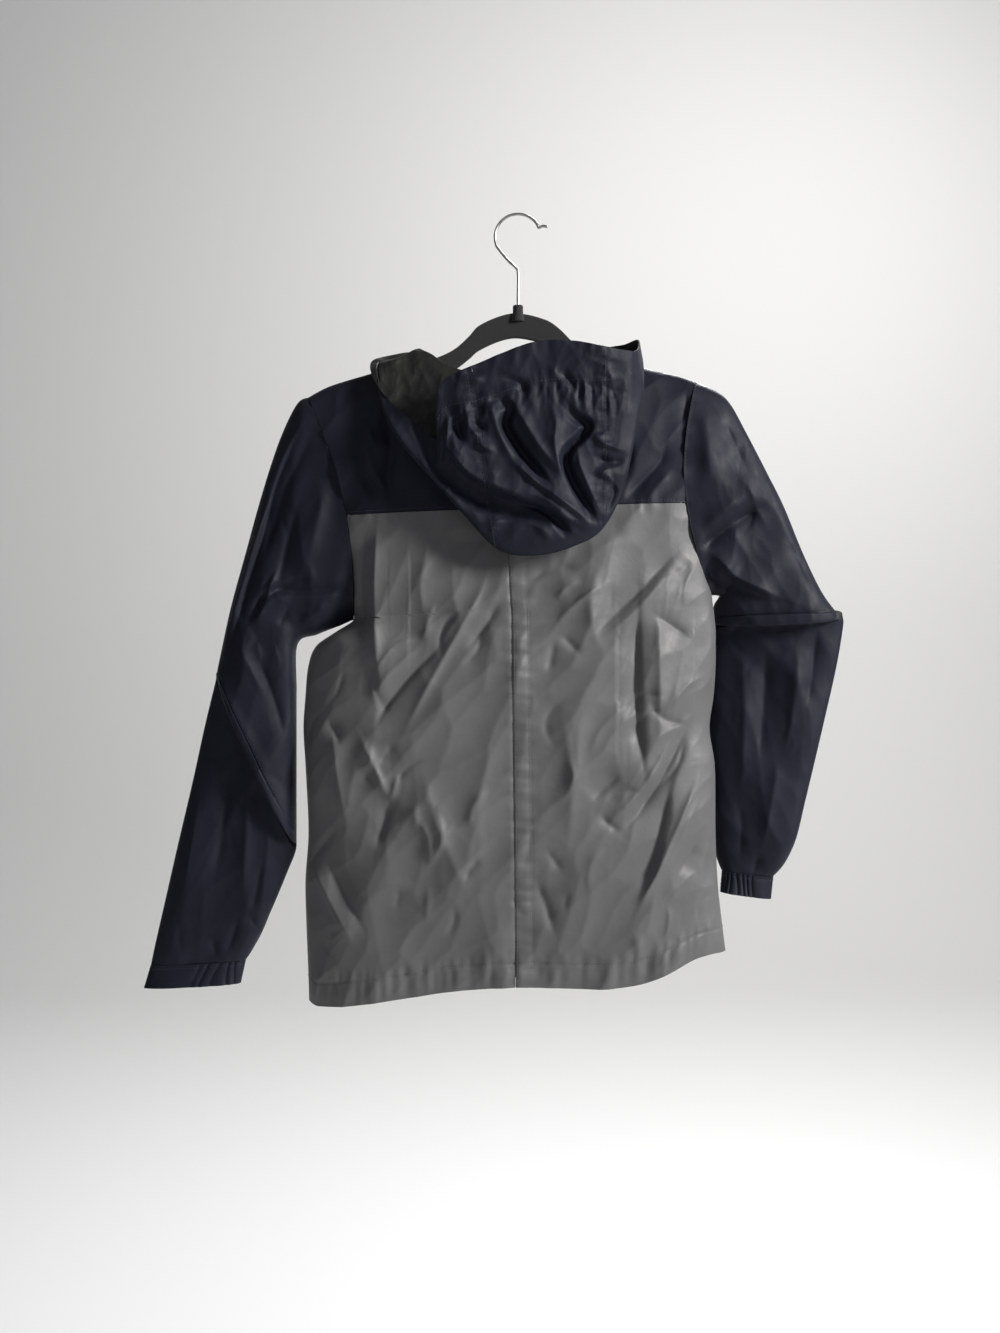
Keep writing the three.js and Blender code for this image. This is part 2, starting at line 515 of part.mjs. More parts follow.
/**
 * A point of the body by its turn: 0 at the left edge, pi at the right;
 * the front lies between, the back outside.
 */
const turned = (turn, v) => bodyPoint((1 - Math.cos(turn)) / 2, v, turn < 0 || turn > Math.PI ? -1 : 1);
const TINY = 1e-6; // holds a back piece's edge on the back
const turnAt = (share) => Math.acos(1 - 2 * clamp(share, 0, 1));
const rowWidth = (v) => rowEnds(v)[1].x - rowEnds(v)[0].x;
const centre = (facing, v, offset = 0) => {
  const [top, foot] = CENTRE[facing < 0 ? "back" : "front"];
  return (lerp(top, foot, clamp((v - 1) / 2, 0, 1)) + offset - rowEnds(v)[0].x) / rowWidth(v);
};
const wrap = (v) => {
  const inset = read(WRAP_LEFT, "z", Math.max(rowEnds(v)[0].z, WRAP_LEFT[0].z), "inset");
  return v <= 2 ? 0 : -turnAt(inset / rowWidth(v));
};
const seamTurn = (v) => (SEAM / 57) * clamp((v - 1.6) / 0.4, 0, 1);

const YOKE_ROWS = join(steps(0, 0.2, 2), steps(0.2, 1, 4));
const PANEL_ROWS = join(steps(1 + 0.004, 2, 5), steps(2, 3, 13), steps(3, 4, 2));
const hemThick = (u, v) => (v > 2.99 ? BAND : CLOTH);

// ---- yokes: their neck edges share grid lines with the hood ----
const HOOD_LINES = { left: steps(0, 4, 6), back: steps(4, 18, 28), right: steps(18, 22, 6) };
const neckX = (u) => smooth(HOOD.map((row) => row.neck), u);
const neckTurn = (u) => turnAt((neckX(u) - ARMHOLE.left.topX) / (ARMHOLE.right.topX - ARMHOLE.left.topX));
const [neckFrom, neckTo] = [neckTurn(4), neckTurn(18)];
const backNeck = HOOD_LINES.back.map((u) => -neckTurn(u)).reverse();
const backTurns = join(steps(-Math.PI, -neckTo, 5), backNeck, steps(-neckFrom, -TINY, 5));
add("back_yoke", wall({ place: turned, us: backTurns, vs: YOKE_ROWS }), NAVY());

const frontEdge = (v, sign) => turnAt(centre(1, v, (sign * ZIP.gap) / 2));
const frontYokeLeft = (w, v) => {
  return turned(w < 1 ? neckFrom * w : lerp(neckFrom, frontEdge(v, -1), w - 1), v);
};
const frontYokeRight = (w, v) => {
  return turned(w < 1 ? lerp(frontEdge(v, 1), neckTo, w) : lerp(neckTo, Math.PI, w - 1), v);
};
const share = (turn, from, to) => clamp((turn - from) / (to - from), 0, 1);
const leftNeck = HOOD_LINES.left.map((u) => 1 + share(neckTurn(u), neckFrom, frontEdge(0, -1))).reverse();
const rightNeck = HOOD_LINES.right.map((u) => share(neckTurn(u), frontEdge(0, 1), neckTo)).reverse();
const leftLines = join(steps(0, 1, 5), leftNeck);
const rightLines = join(rightNeck, steps(1, 2, 5));
add("front_yoke_left", wall({ place: frontYokeLeft, us: leftLines, vs: YOKE_ROWS }), NAVY());
add("front_yoke_right", wall({ place: frontYokeRight, us: rightLines, vs: YOKE_ROWS }), NAVY());

// ---- body panels: each runs from a centre line to the side seam ----
const backEdge = (v, sign) => -turnAt(centre(-1, v, (sign * SEAM) / 2));
const panels = {
  back_panel_left: (w, v) => turned(lerp(backEdge(v, -1), Math.min(wrap(v) - seamTurn(v), -TINY), w), v),
  back_panel_right: (w, v) => turned(2 * Math.PI + lerp(-Math.PI + TINY, backEdge(v, 1), w), v),
  front_panel_left: (w, v) => turned(lerp(v <= 2 ? 2 * seamTurn(v) : wrap(v), frontEdge(v, -1), w), v),
  front_panel_right: (w, v) => turned(lerp(frontEdge(v, 1), Math.PI, w), v),
};
for (const [name, place] of Object.entries(panels)) {
  const us = steps(0, 1, name.startsWith("back") ? 13 : 9);
  add(name, wall({ place, us, vs: PANEL_ROWS, thick: hemThick }), GREY());
}

// ---- sleeves ----
const SLEEVE_TURNS = (side) => {
  const yoke = yokeTurn(side);
  const half = join(steps(0, yoke, 5), steps(yoke, Math.PI, 5));
  return [...half, ...half.slice(1, -1).reverse().map((turn) => 2 * Math.PI - turn)];
};
const sleeveAt = (side, v, column) => smooth(SLEEVE[side].map((row) => row[column]), v);

/**
 * A point of a sleeve: turn 0 at the outer edge, pi at the inner one, the back first;
 * v counts the table's rows.
 */
function sleevePoint(side, turn, v) {
  const at = (column) => sleeveAt(side, v, column);
  const share = (1 - Math.cos(turn)) / 2;
  const facing = Math.sin(turn) >= 0 ? -1 : 1;
  const bowed = at("bow") * bowAt(share);
  const x = lerp(at("ox"), at("ix"), share) + (v < 3 ? bowed : 0);
  const z = lerp(at("oz"), at("iz"), share);
  const depth = at(facing < 0 ? "back" : "front") * Math.sqrt(1 - Math.abs(Math.cos(turn)) ** SIDE_ROUND);
  const folds = facing < 0 ? folded(SLEEVE_FOLDS[side], x, z) * clamp(depth / 12, 0, 1) : 0;
  const y = lerp(at("oy"), at("iy"), share) + facing * (depth + folds);
  const joined = clamp(1 - v / 2, 0, 1);
  return new THREE.Vector3(x, joined > 0 ? lerp(y, bodyY(x, z, facing), joined) : y, z);
}
for (const [side, name] of [["left", "sleeve_left"], ["right", "sleeve_right"]]) {
  const rows = SLEEVE[side].length - 1;
  const place = (turn, v) => {
    const pace = sleevePoint(side, turn, 0).distanceTo(sleevePoint(side, turn, 0.25)) / 0.25;
    return sleevePoint(side, turn, v + Math.max(0, 1 - 2 * v) * Math.min((1.2 * SEAM) / pace, 0.4));
  };
  const vs = join([0, 0.5], steps(0.5, rows, side === "left" ? 20 : 22));
  const facing = side === "left" ? -1 : 1;
  add(name, wall({ place, us: SLEEVE_TURNS(side), vs, side: facing, round: true }), NAVY());
}

// ---- cuffs: a gathered casing below each sleeve ----
for (const [side, name] of [["left", "cuff_left"], ["right", "cuff_right"]]) {
  const end = SLEEVE[side].at(-1);
  const foot = CUFF[side];
  const place = (turn, v) => {
    const share = (1 - Math.cos(turn)) / 2;
    const facing = Math.sin(turn) >= 0 ? -1 : 1;
    const round = Math.sqrt(1 - Math.abs(Math.cos(turn)) ** SIDE_ROUND);
    const depth = lerp(facing < 0 ? end.back : end.front, facing < 0 ? foot.back : foot.front, v) * round;
    const gathered = clamp((share - foot.from) / 0.1, 0, 1) * clamp(round * 2, 0, 1);
    const gather = gathered * (0.9 * Math.cos(turn * foot.gathers * 2) - 1.6 * Math.sin(Math.PI * v));
    const x = lerp(lerp(end.ox, foot.ox, v), lerp(end.ix, foot.ix, v), share);
    const z = lerp(lerp(end.oz, foot.oz, v), lerp(end.iz, foot.iz, v), share);
    const y = lerp(lerp(end.oy, foot.y, v), lerp(end.iy, foot.y, v), share) + facing * (depth + gather);
    return new THREE.Vector3(x, y, z);
  };
  const gap = (1.5 * SEAM) / Math.hypot(end.ox - foot.ox, end.oz - foot.oz);
  const facing = side === "left" ? -1 : 1;
  const us = steps(0, 2 * Math.PI, foot.gathers * 5).slice(0, -1);
  add(name, wall({ place, us, vs: steps(gap, 1, 2), side: facing, round: true, thick: BAND }), NAVY());
}

// ---- hood ----
const facingAt = (u) => (u < 4 || u > 18 ? 1 : -1);
/** The neck seam, just above the yokes' edge. */
function neckPoint(u) {
  const [x, facing] = [neckX(u), facingAt(u)];
  const z = read(facing < 0 ? NECK_BACK : NECK_FRONT, "x", x, "z");
  return new THREE.Vector3(x, bodyY(x, z, facing), z + SEAM);
}
/** The least depth at which the hood lies clear of the yoke and panels below it. */
function clearOf(x, z, facing) {
  const neck = facing < 0 ? NECK_BACK : NECK_FRONT;
  const drop = shoulderZ(x) + HOOD_CLEAR * 2 - z;
  const open = x > neck[0].x && x < neck.at(-1).x && z > read(neck, "x", x, "z") + 1;
  if (drop <= 0 || open) return 0;
  const roll = Math.sqrt(2 * ROLL.back * drop);
  return Math.max(facing < 0 ? roll : 0, facing * bodyY(x, z, facing)) + HOOD_CLEAR;
}
/** Control points of one section, from the neck seam (first) to the face edge (last). */
function hoodSection({ facing, rise, fold, cx, cy, cz, fx, fy, fz }, u) {
  const seam = neckPoint(u);
  const off = (p) => {
    const least = clearOf(p.x, p.z, facing);
    if (least > 0) p.y = facing * Math.max(facing * p.y, least);
    return p;
  };
  const c = new THREE.Vector3(cx, cy, cz);
  const f = new THREE.Vector3(fx, fy, fz);
  const down = (t, lift = 0) => off(seam.clone().lerp(c, t).add(new THREE.Vector3(0, 0, lift)));
  const out = new THREE.Vector3(cx / HOOD_ROUND.x ** 2, cy / HOOD_ROUND.y ** 2, 0).setLength(fold);
  const bottom = off(c.clone()).add(out);
  const up = (t) => bottom.clone().add(out).lerp(f, t);
  const top = seam.clone().add(new THREE.Vector3(0, 0, rise));
  return [seam, top, down(0.2, rise * 0.8), down(0.55), down(0.92), bottom, up(0.12), up(0.5), f];
}
const hoodGrid = HOOD.map(hoodSection);

/** A point of the hood; u counts the sections, v the control points of a section. */
function hoodPoint(u, v) {
  const at = (axis) => smooth(hoodGrid.map((row) => smooth(row.map((p) => p[axis]), v)), u);
  const p = new THREE.Vector3(at("x"), at("y"), at("z"));
  p.y -= folded(HOOD_FOLDS, p.x, p.z) * clamp((v - 5.2) / 0.8, 0, 1);
  const pull = clamp(1 - v / 1.5, 0, 1);
  if (pull === 0) return p;
  const drawn = ["x", "y", "z"].map((axis) => smooth(hoodGrid.map((row) => row[0][axis]), u));
  return p.addScaledVector(neckPoint(u).sub(new THREE.Vector3(...drawn)), pull);
}
const HOOD_ROWS = join(steps(0, 2, 5), steps(2, 4, 2), steps(4, 6, 4), steps(6, 8, 3));
const hoodLines = join(HOOD_LINES.left, HOOD_LINES.back, HOOD_LINES.right);
const hoodPieces = [
  ["hood_side_left", 0, HOOD_SEAMS.left - 0.01],
  ["hood_centre", HOOD_SEAMS.left + 0.01, HOOD_SEAMS.right - 0.01],
  ["hood_side_right", HOOD_SEAMS.right + 0.01, HOOD.length - 1],
];
for (const [name, from, to] of hoodPieces) {
  const us = [from, ...hoodLines.filter((u) => u > from + 0.1 && u < to - 0.1), to];
  add(name, wall({ place: hoodPoint, us, vs: HOOD_ROWS }), NAVY());
}

// ---- zip ----
const frontAt = (offset, v) => bodyPoint(centre(1, v, offset), v, 1);
const tapeTop = -BAND - 0.3;
const ZIP_ROWS = join(steps(0.02, 1, 5), steps(1, 3, 14), steps(3, 3.98, 2));
const strip = (from, to, top, thick) => wall({ place: frontAt, us: [from, to], vs: ZIP_ROWS, top, thick });
add("zip_tape_left", strip(-ZIP.tape, -SEAM / 2, tapeTop, ZIP.tapeThick), TAPE());
add("zip_tape_right", strip(SEAM / 2, ZIP.tape, tapeTop, ZIP.tapeThick), TAPE());
add("zip_teeth", strip(-ZIP.chain / 2, ZIP.chain / 2, ZIP.chainTop, ZIP.chainThick), DARK_METAL());

const seat = frontAt(0, ZIP.sliderAt);
const sliderTop = SLIDER.raised + SLIDER.thick;
const pinY = sliderTop + BRIDGE.wall + BRIDGE.hole / 2;
const sliderBox = (w, t, h, y, z) => {
  return solid(new THREE.BoxGeometry(w, t, h)).translate([seat.x, seat.y + y, seat.z + z]);
};
const plateBody = sliderBox(SLIDER.width, SLIDER.thick, SLIDER.length, SLIDER.raised + SLIDER.thick / 2, 0);
const bridgeY = sliderTop + BRIDGE.lift / 2 - 0.2; // sunk a little into the plate
const bridge = sliderBox(BRIDGE.width, BRIDGE.lift, BRIDGE.length, bridgeY, 1);
const eye = sliderBox(BRIDGE.width + 2, BRIDGE.hole, BRIDGE.holeLength, pinY, 0.4);
add("zip_slider", surface(plateBody.add(bridge).subtract(eye)), DARK_METAL());
const pinZ = -1;
const tab = sliderBox(TAB.width, TAB.thick, TAB.length, pinY, pinZ - TAB.length / 2 + TAB.bar / 2);
const slotZ = pinZ - TAB.bar / 2 - TAB.slot / 2;
const slot = sliderBox(BRIDGE.width + 0.8, TAB.thick + 1, TAB.slot, pinY, slotZ);
add("pull_tab", surface(tab.subtract(slot)), DARK_METAL());

// ---- hanger and hook ----
const armAt = (x, column) => read(HANGER_ARMS, "x", x, column);
const armXs = [...new Set(HANGER_ARMS.map((row) => row.x))];
const topEdge = armXs.map((x) => [x, armAt(x, "top")]);
const lowEdge = [...armXs].reverse().map((x) => [x, armAt(x, "top") - armAt(x, "height")]);
const arch = solid(plate([...topEdge, ...lowEdge], SHELL.thick, SHELL.bevel));
const bossHeight = BOSS.top - BOSS.foot;
const upright = (radius, height, sides) => {
  return solid(new THREE.CylinderGeometry(radius, radius, height, sides).rotateX(Math.PI / 2));
};
const boss = upright(SHELL.boss, bossHeight, 16).translate([0, 0, BOSS.foot + bossHeight / 2]);
const socket = upright(SHELL.socket, 2 * SHELL.socketDepth, 10).translate([0, 0, BOSS.top]);
const hanger = arch.add(boss).subtract(socket);
add("hanger", surface(hanger), BLACK());

const loopZ = WIRE.radius - WIRE.loop;
const loopPoint = (degrees) => {
  const angle = THREE.MathUtils.degToRad(degrees);
  return { x: WIRE.loop * Math.cos(angle), z: loopZ + WIRE.loop * Math.sin(angle) };
};
const loop = steps(24, 208, 24).map(loopPoint);
const foot = { x: 0, z: BOSS.top - SHELL.socketDepth + SEAM };
const hookPath = [...HOOK_TIP, ...loop, ...HOOK_TAIL.slice(1), foot];
add("hook", wire(hookPath, WIRE.radius, WIRE.sides, 44), STEEL());

export default part;
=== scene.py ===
# %% [markdown]
# # A rain jacket on its hanger
# The object is a youth rain jacket of thin coated nylon, seen from the back, where its hood hangs open.
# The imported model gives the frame: every piece below is made in metres in that same frame.
# Cloth needs far more shape than the frame's plain walls have, so each cloth piece is made again here as a
# fine grid over the same surface, with its creases, puckers and seams, and stands for the plain solid.

# %% Load the frame
import math
import bmesh
import bpy
import numpy as np
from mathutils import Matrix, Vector, noise


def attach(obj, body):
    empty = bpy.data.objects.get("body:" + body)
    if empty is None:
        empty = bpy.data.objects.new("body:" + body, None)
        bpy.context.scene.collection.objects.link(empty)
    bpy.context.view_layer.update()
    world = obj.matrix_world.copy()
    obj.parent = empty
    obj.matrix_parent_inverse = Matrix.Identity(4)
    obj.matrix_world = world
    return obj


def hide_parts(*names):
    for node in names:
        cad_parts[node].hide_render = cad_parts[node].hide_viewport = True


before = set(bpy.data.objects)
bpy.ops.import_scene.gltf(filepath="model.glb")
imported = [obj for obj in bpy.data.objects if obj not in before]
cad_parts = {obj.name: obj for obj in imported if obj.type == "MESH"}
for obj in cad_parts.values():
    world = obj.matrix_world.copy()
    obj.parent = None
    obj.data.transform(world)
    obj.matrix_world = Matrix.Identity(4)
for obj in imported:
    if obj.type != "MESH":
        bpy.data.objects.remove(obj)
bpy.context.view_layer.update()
MM = 0.001
scene = bpy.context.scene

# %% [markdown]
# ## Camera, floor and light
# A hanging garment is looked at straight on, so the camera is level, at half its height.
# A curved sheet that is floor and backdrop in one has no corner to draw the eye. It stands well behind, so
# that a camera on the far side still has a clear view. A soft lamp from the right, like a window, rakes
# across the creases of the back; one beyond the jacket does the same for its front, and one washes the wall.
# The pale surroundings fill the rest.

# %% Camera
EYE = Vector((-0.018, -1.5, -0.451))
SENSOR, VIEW_HEIGHT = 36, 1333  # mm: of the sensor, and of what it sees at the jacket
camera = bpy.data.objects.new("camera", bpy.data.cameras.new("camera"))
camera.location = EYE
camera.rotation_euler = (math.pi / 2, 0, 0)
camera.data.sensor_fit = "VERTICAL"
camera.data.sensor_height = SENSOR
camera.data.lens = SENSOR * -EYE.y / MM / VIEW_HEIGHT
scene.collection.objects.link(camera)
scene.camera = camera
print("camera at", tuple(EYE), "lens", round(camera.data.lens, 2))

# %% Floor and backdrop
def new_mesh(name, points, faces, smooth=True):
    mesh = bpy.data.meshes.new(name)
    mesh.from_pydata([tuple(p) for p in points], [], [tuple(f) for f in faces])
    mesh.update()
    if smooth:
        mesh.shade_smooth()
    return mesh


def new_object(name, mesh):
    obj = bpy.data.objects.new(name, mesh)
    scene.collection.objects.link(obj)
    return obj


def sweep_backdrop(floor_z=-1.75, back_y=6.0, bend=1.6, half=9.0, steps=16):
    """A floor that turns up into a wall."""
    line = [(-9.0, floor_z)]
    for k in range(steps + 1):
        turn = math.pi / 2 * k / steps
        line.append((back_y - bend + bend * math.sin(turn), floor_z + bend - bend * math.cos(turn)))
    line.append((back_y, 7.0))
    points = [(x, y, z) for y, z in line for x in (-half, half)]
    faces = [(2 * k, 2 * k + 1, 2 * k + 3, 2 * k + 2) for k in range(len(line) - 1)]
    return new_object("floor", new_mesh("floor", points, faces))


floor = sweep_backdrop()
print("floor has", len(floor.data.polygons), "faces")

# %% Lamps
def soft_lamp(name, place, aim, size, power, colour):
    lamp = bpy.data.lights.new(name, "AREA")
    lamp.shape = "RECTANGLE"
    lamp.size, lamp.size_y = size
    lamp.energy = power
    lamp.color = colour
    obj = bpy.data.objects.new(name, lamp)
    obj.location = place
    obj.rotation_euler = (Vector(aim) - Vector(place)).to_track_quat("-Z", "Y").to_euler()
    scene.collection.objects.link(obj)
    return obj


middle = (0.0, 0.0, -0.42)
soft_lamp("window", (2.1, -1.15, 0.55), middle, (0.5, 0.8), 104, (1.0, 0.985, 0.96))
soft_lamp("sky", (-1.2, -2.4, 1.6), middle, (2.2, 1.4), 5, (0.93, 0.96, 1.0))
soft_lamp("far_side", (0.8, 2.0, 1.5), middle, (0.5, 0.7), 84, (0.98, 0.985, 1.0))
soft_lamp("wall_wash", (1.6, 2.6, 2.2), (0.0, 6.0, 0.2), (3.0, 2.0), 120, (1.0, 0.99, 0.965))
world = bpy.data.worlds.new("pale_room")
world.use_nodes = True
world.node_tree.nodes["Background"].inputs["Color"].default_value = (0.86, 0.88, 0.91, 1)
world.node_tree.nodes["Background"].inputs["Strength"].default_value = 0.17
scene.world = world
scene.view_settings.view_transform = "Standard"

# %% [markdown]
# ## The garment's form
# The jacket was cut from flat cloth, but hung up it is a set of flattened tubes: a body, two sleeves, and
# a hood. Each is described by a table of a few rings or sections, and a smooth curve runs through the rows.
# The tables are the same sizes, in millimetres, that the frame's own walls were made from, so a piece made
# here lands where the frame says.

# %% Tables of the body: height, then left and right edge, and how far the back and front swell
BODY = np.array([
    (-140, -240, 212, 44, 20), (-184, -232, 207, 44, 20), (-250, -205, 197, 42, 20),
    (-300, -190, 190, 41, 20), (-350, -177, 189, 44, 20), (-380, -170, 193, 46, 20),
    (-404, -164, 196, 47, 20), (-416, -181, 197, 47, 20), (-430, -201, 197, 47, 20),
    (-450, -209, 197, 48, 20), (-480, -212, 195, 48, 20), (-512, -214, 191, 48, 20),
    (-548, -212, 196, 48, 20), (-615, -209, 197, 47, 20), (-665, -212, 199, 45, 19),
    (-710, -211, 204, 42, 18), (-760, -209, 210, 37, 17), (-800, -208, 213, 34, 16)], float)
SHOULDERS = np.array([
    (-240, -202), (-209, -182), (-188, -171), (-146, -158), (-98, -143), (-50, -138), (30, -136), (78, -140),
    (127, -153), (176, -166), (212, -186)], float)
NECK_BACK = np.array([
    (-98, -143), (-86, -150), (-70, -162), (-45, -170), (-10, -173), (25, -170), (50, -163), (66, -151),
    (78, -140)], float)
NECK_FRONT = np.array([
    (-98, -143), (-87, -159), (-71, -184), (-45, -208), (-10, -219), (25, -208), (55, -185), (69, -158),
    (78, -140)], float)
HEM_EDGE = np.array([
    (-212, -781), (-197, -787), (-116, -776), (-67, -768), (-3, -763), (80, -765), (119, -761), (148, -750),
    (178, -737), (212, -733)], float)
WRAP_LEFT = np.array([(-500, 0), (-470, 3), (-440, 12), (-425, 16), (-404, 0)], float)
ARMHOLE = {  # top x, top z, foot x, foot z, bow, share above the yoke seam
    "left": (-209, -182, -164, -404, 16, 0.54),
    "right": (176, -166, 193, -380, -22, 0.58)}
CENTRE = {-1: (-11, -3), 1: (-9, -2)}  # x of the back's and the front's centre line, yoke seam and hem
ROLL = {-1: 7, 1: 5.5}  # mm, how tightly the back and the front roll over the shoulder
SEAM, HEM, ZIP_GAP = 0.3, 24, 9  # mm: a seam's gap, the hem's casing, the opening at the zip
EDGE_Y, SIDE_ROUND = -3, 3  # depth of the side edges (mm), and the power that rounds the sides
print("body table", BODY.shape, "armholes", list(ARMHOLE))

# %% Reading a table on a smooth curve
def mix(a, b, t):
    return a + (b - a) * t


def ease(t):
    t = np.clip(t, 0, 1)
    return t * t * (3 - 2 * t)


def hill(offset, half):
    """1 at no offset, smoothly down to 0 at `half` to either side."""
    return ease(1 - np.abs(offset) / half)


def read(table, at, column=1):
    """A column of a table where its first column has the value `at`."""
    rows = table if table[0, 0] < table[-1, 0] else table[::-1]
    xs, ys = rows[:, 0], rows[:, column]
    at = np.asarray(at, float)
    i = np.clip(np.searchsorted(xs, at, side="left") - 1, 0, len(xs) - 2)
    low, high = np.maximum(np.arange(len(xs)) - 1, 0), np.minimum(np.arange(len(xs)) + 1, len(xs) - 1)
    slope = (ys[high] - ys[low]) / (xs[high] - xs[low])
    h = xs[i + 1] - xs[i]
    t = np.clip((at - xs[i]) / h, 0, 1)
    whole = ys[i] + (ys[i + 1] - ys[i]) * t * t * (3 - 2 * t)
    return whole + h * t * (1 - t) * (slope[i] * (1 - t) - slope[i + 1] * t)


def curve_weights(at, count):
    """Four rows and their weights for a smooth curve through `count` rows."""
    at = np.asarray(at, float)
    i = np.clip(np.floor(at).astype(int), 0, count - 2)
    t = at - i
    rows = [np.clip(i + k, 0, count - 1) for k in (-1, 0, 1, 2)]
    t2, t3 = t * t, t ** 3
    return rows, [0.5 * w for w in (
        -t + 2 * t2 - t3, 2 - 5 * t2 + 3 * t3, t + 4 * t2 - 3 * t3, -t2 + t3)]


def along(values, at):
    """Values along a list, on a smooth curve through them."""
    values = np.asarray(values, float)
    rows, weights = curve_weights(at, len(values))
    return sum(w[..., None] * values[r] if values.ndim > 1 else w * values[r] for r, w in zip(rows, weights))


print("shoulder height at x = 0:", round(float(read(SHOULDERS, 0.0)), 1))

# %% The body's surface
def soft_level(rise, swell):
    return rise / (1 + (rise / np.maximum(swell, 0.01)) ** 4) ** 0.25


def body_y(x, z, facing, row=None):
    """Depth of the back (facing -1) or front (+1) sheet, and how far it stands clear of the side edges."""
    drop = np.maximum(0, read(SHOULDERS, x) - z)
    rise = np.sqrt(2 * np.where(facing < 0, ROLL[-1], ROLL[1]) * drop)
    left, right = read(BODY, z, 1), read(BODY, z, 2)
    share = np.clip((x - left) / (right - left) if row is None else row, 0, 1)
    depth = np.where(facing < 0, read(BODY, z, 3), read(BODY, z, 4)) + facing * EDGE_Y
    swell = depth * np.sqrt(1 - np.abs(2 * share - 1) ** SIDE_ROUND)
    level = soft_level(rise, swell)
    return EDGE_Y * np.clip(drop / 60, 0, 1) + facing * (level + SEAM / 2), level


def bow_at(share):
    share = np.clip(share, 0, 1)
    return np.sin(np.pi * share) ** np.where(share > 0.5, 0.85, 1)


def armhole(side, share):
    top_x, top_z, foot_x, foot_z, bow, _ = ARMHOLE[side]
    return mix(top_x, foot_x, share) + bow * bow_at(share), mix(top_z, foot_z, share)


def yoke_turn(side):
    return math.acos(1 - 2 * ARMHOLE[side][5])


def share_down(side, v):
    turn = np.where(v <= 1, yoke_turn(side) * v, yoke_turn(side) + (math.pi - yoke_turn(side)) * (v - 1))
    return (1 - np.cos(turn)) / 2


def row_ends(v):
    """Ends of a row: v = 0 at the shoulder, 1 yoke seam, 2 underarm, 3 hem stitching, 4 hem edge."""
    v = np.asarray(v, float)
    ends = []
    for side, column in (("left", 1), ("right", 2)):
        ax, az = armhole(side, share_down(side, np.minimum(v, 2)))
        low = float(read(HEM_EDGE, -212 if side == "left" else 212))
        foot_z = ARMHOLE[side][3]
        z = np.where(v <= 3, foot_z + (low + HEM - foot_z) * (v - 2), low + HEM * (4 - v))
        z = np.where(v <= 2, az, z)
        ends.append((np.where(v <= 2, ax, read(BODY, z, column)), z))
    return ends


def body_point(share, v, facing):
    """Points (mm) of the body and their level, at a share of the row from left to right."""
    share, v, facing = np.broadcast_arrays(share, np.asarray(v, float), facing)
    (ax, az), (bx, bz) = row_ends(v)
    x, z = mix(ax, bx, share), mix(az, bz, share)
    (ax0, az0), (bx0, bz0) = row_ends(np.zeros(1))
    x0 = mix(ax0, bx0, share)
    neck_z = np.where(facing < 0, read(NECK_BACK, x0), read(NECK_FRONT, x0))
    in_neck = (x0 > NECK_BACK[0, 0]) & (x0 < NECK_BACK[-1, 0])
    top = np.where(in_neck, neck_z, read(SHOULDERS, x0))
    left = np.clip(1 - share_down("left", v) / ARMHOLE["left"][5], 0, 1)
    z = z + np.where(v < 1, left ** 1.2 * (top - mix(az0, bz0, share)), 0)
    flat = float(read(HEM_EDGE, -212)), float(read(HEM_EDGE, 212))
    sag = read(HEM_EDGE, x) - mix(*flat, share)
    z = z + np.where(v > 2, np.clip(v - 2, 0, 1) ** 1.5 * sag, 0)
    y_low, level_low = body_y(x, z, facing, share)
    y_high, level_high = body_y(x, z, facing)
    y, level = np.where(v > 2, y_low, y_high), np.where(v > 2, level_low, level_high)
    return np.stack([x, y, z], -1), level


def turned(turn, v):
    """The body by its turn: 0 at the left edge, pi at the right; the front between, the back outside."""
    facing = np.where((turn < 0) | (turn > np.pi), -1, 1)
    return body_point((1 - np.cos(turn)) / 2, v, facing)


def turn_at(share):
    return np.arccos(1 - 2 * np.clip(share, 0, 1))


def centre_x(facing, v):
    return mix(*CENTRE[facing], np.clip((v - 1) / 2, 0, 1))


def centre_share(facing, v, offset):
    (ax, _), (bx, _) = row_ends(v)
    return (centre_x(facing, v) + offset - ax) / (bx - ax)


def centre_turn(facing, v, offset):
    """Turn of a place `offset` mm from the centre line, along x."""
    return facing * turn_at(centre_share(facing, v, offset))


def wrap_turn(v):
    (ax, az), (bx, _) = row_ends(v)
    return np.where(v <= 2, 0, -turn_at(read(WRAP_LEFT, np.maximum(az, -500)) / (bx - ax)))


def seam_turn(v):
    return SEAM / 57 * np.clip((v - 1.6) / 0.4, 0, 1)


sample, _ = turned(np.array([-1.5, 1.5]), np.array([1.5, 1.5]))
print("back and front at mid chest (mm)", sample.round(1).tolist())

# %% [markdown]
# ## Creases
# Thin coated nylon holds a sharp fold: a narrow crest with one steep side and one gentle side. Each large
# crease is drawn as a line on the front view, with a width, a height and a lean, and lifts the cloth near it.
# Between them the cloth is never flat, so shallow hollows that meet in ridges add the small crumples that a
# stuffed-away rain jacket keeps. Both only move points of the grid, so they cost nothing and repeat exactly.

# %% Lifting the cloth along a line
CREST = 0.9  # mm, how tightly a crest or a valley turns
CURVE_STEPS = 6  # straight pieces between two points of a crease
REACH = 3.2  # widths: beyond this a crease lifts nothing
CELLS, SHIFT = 97, 50  # hollows in each direction before they repeat, and where the count starts


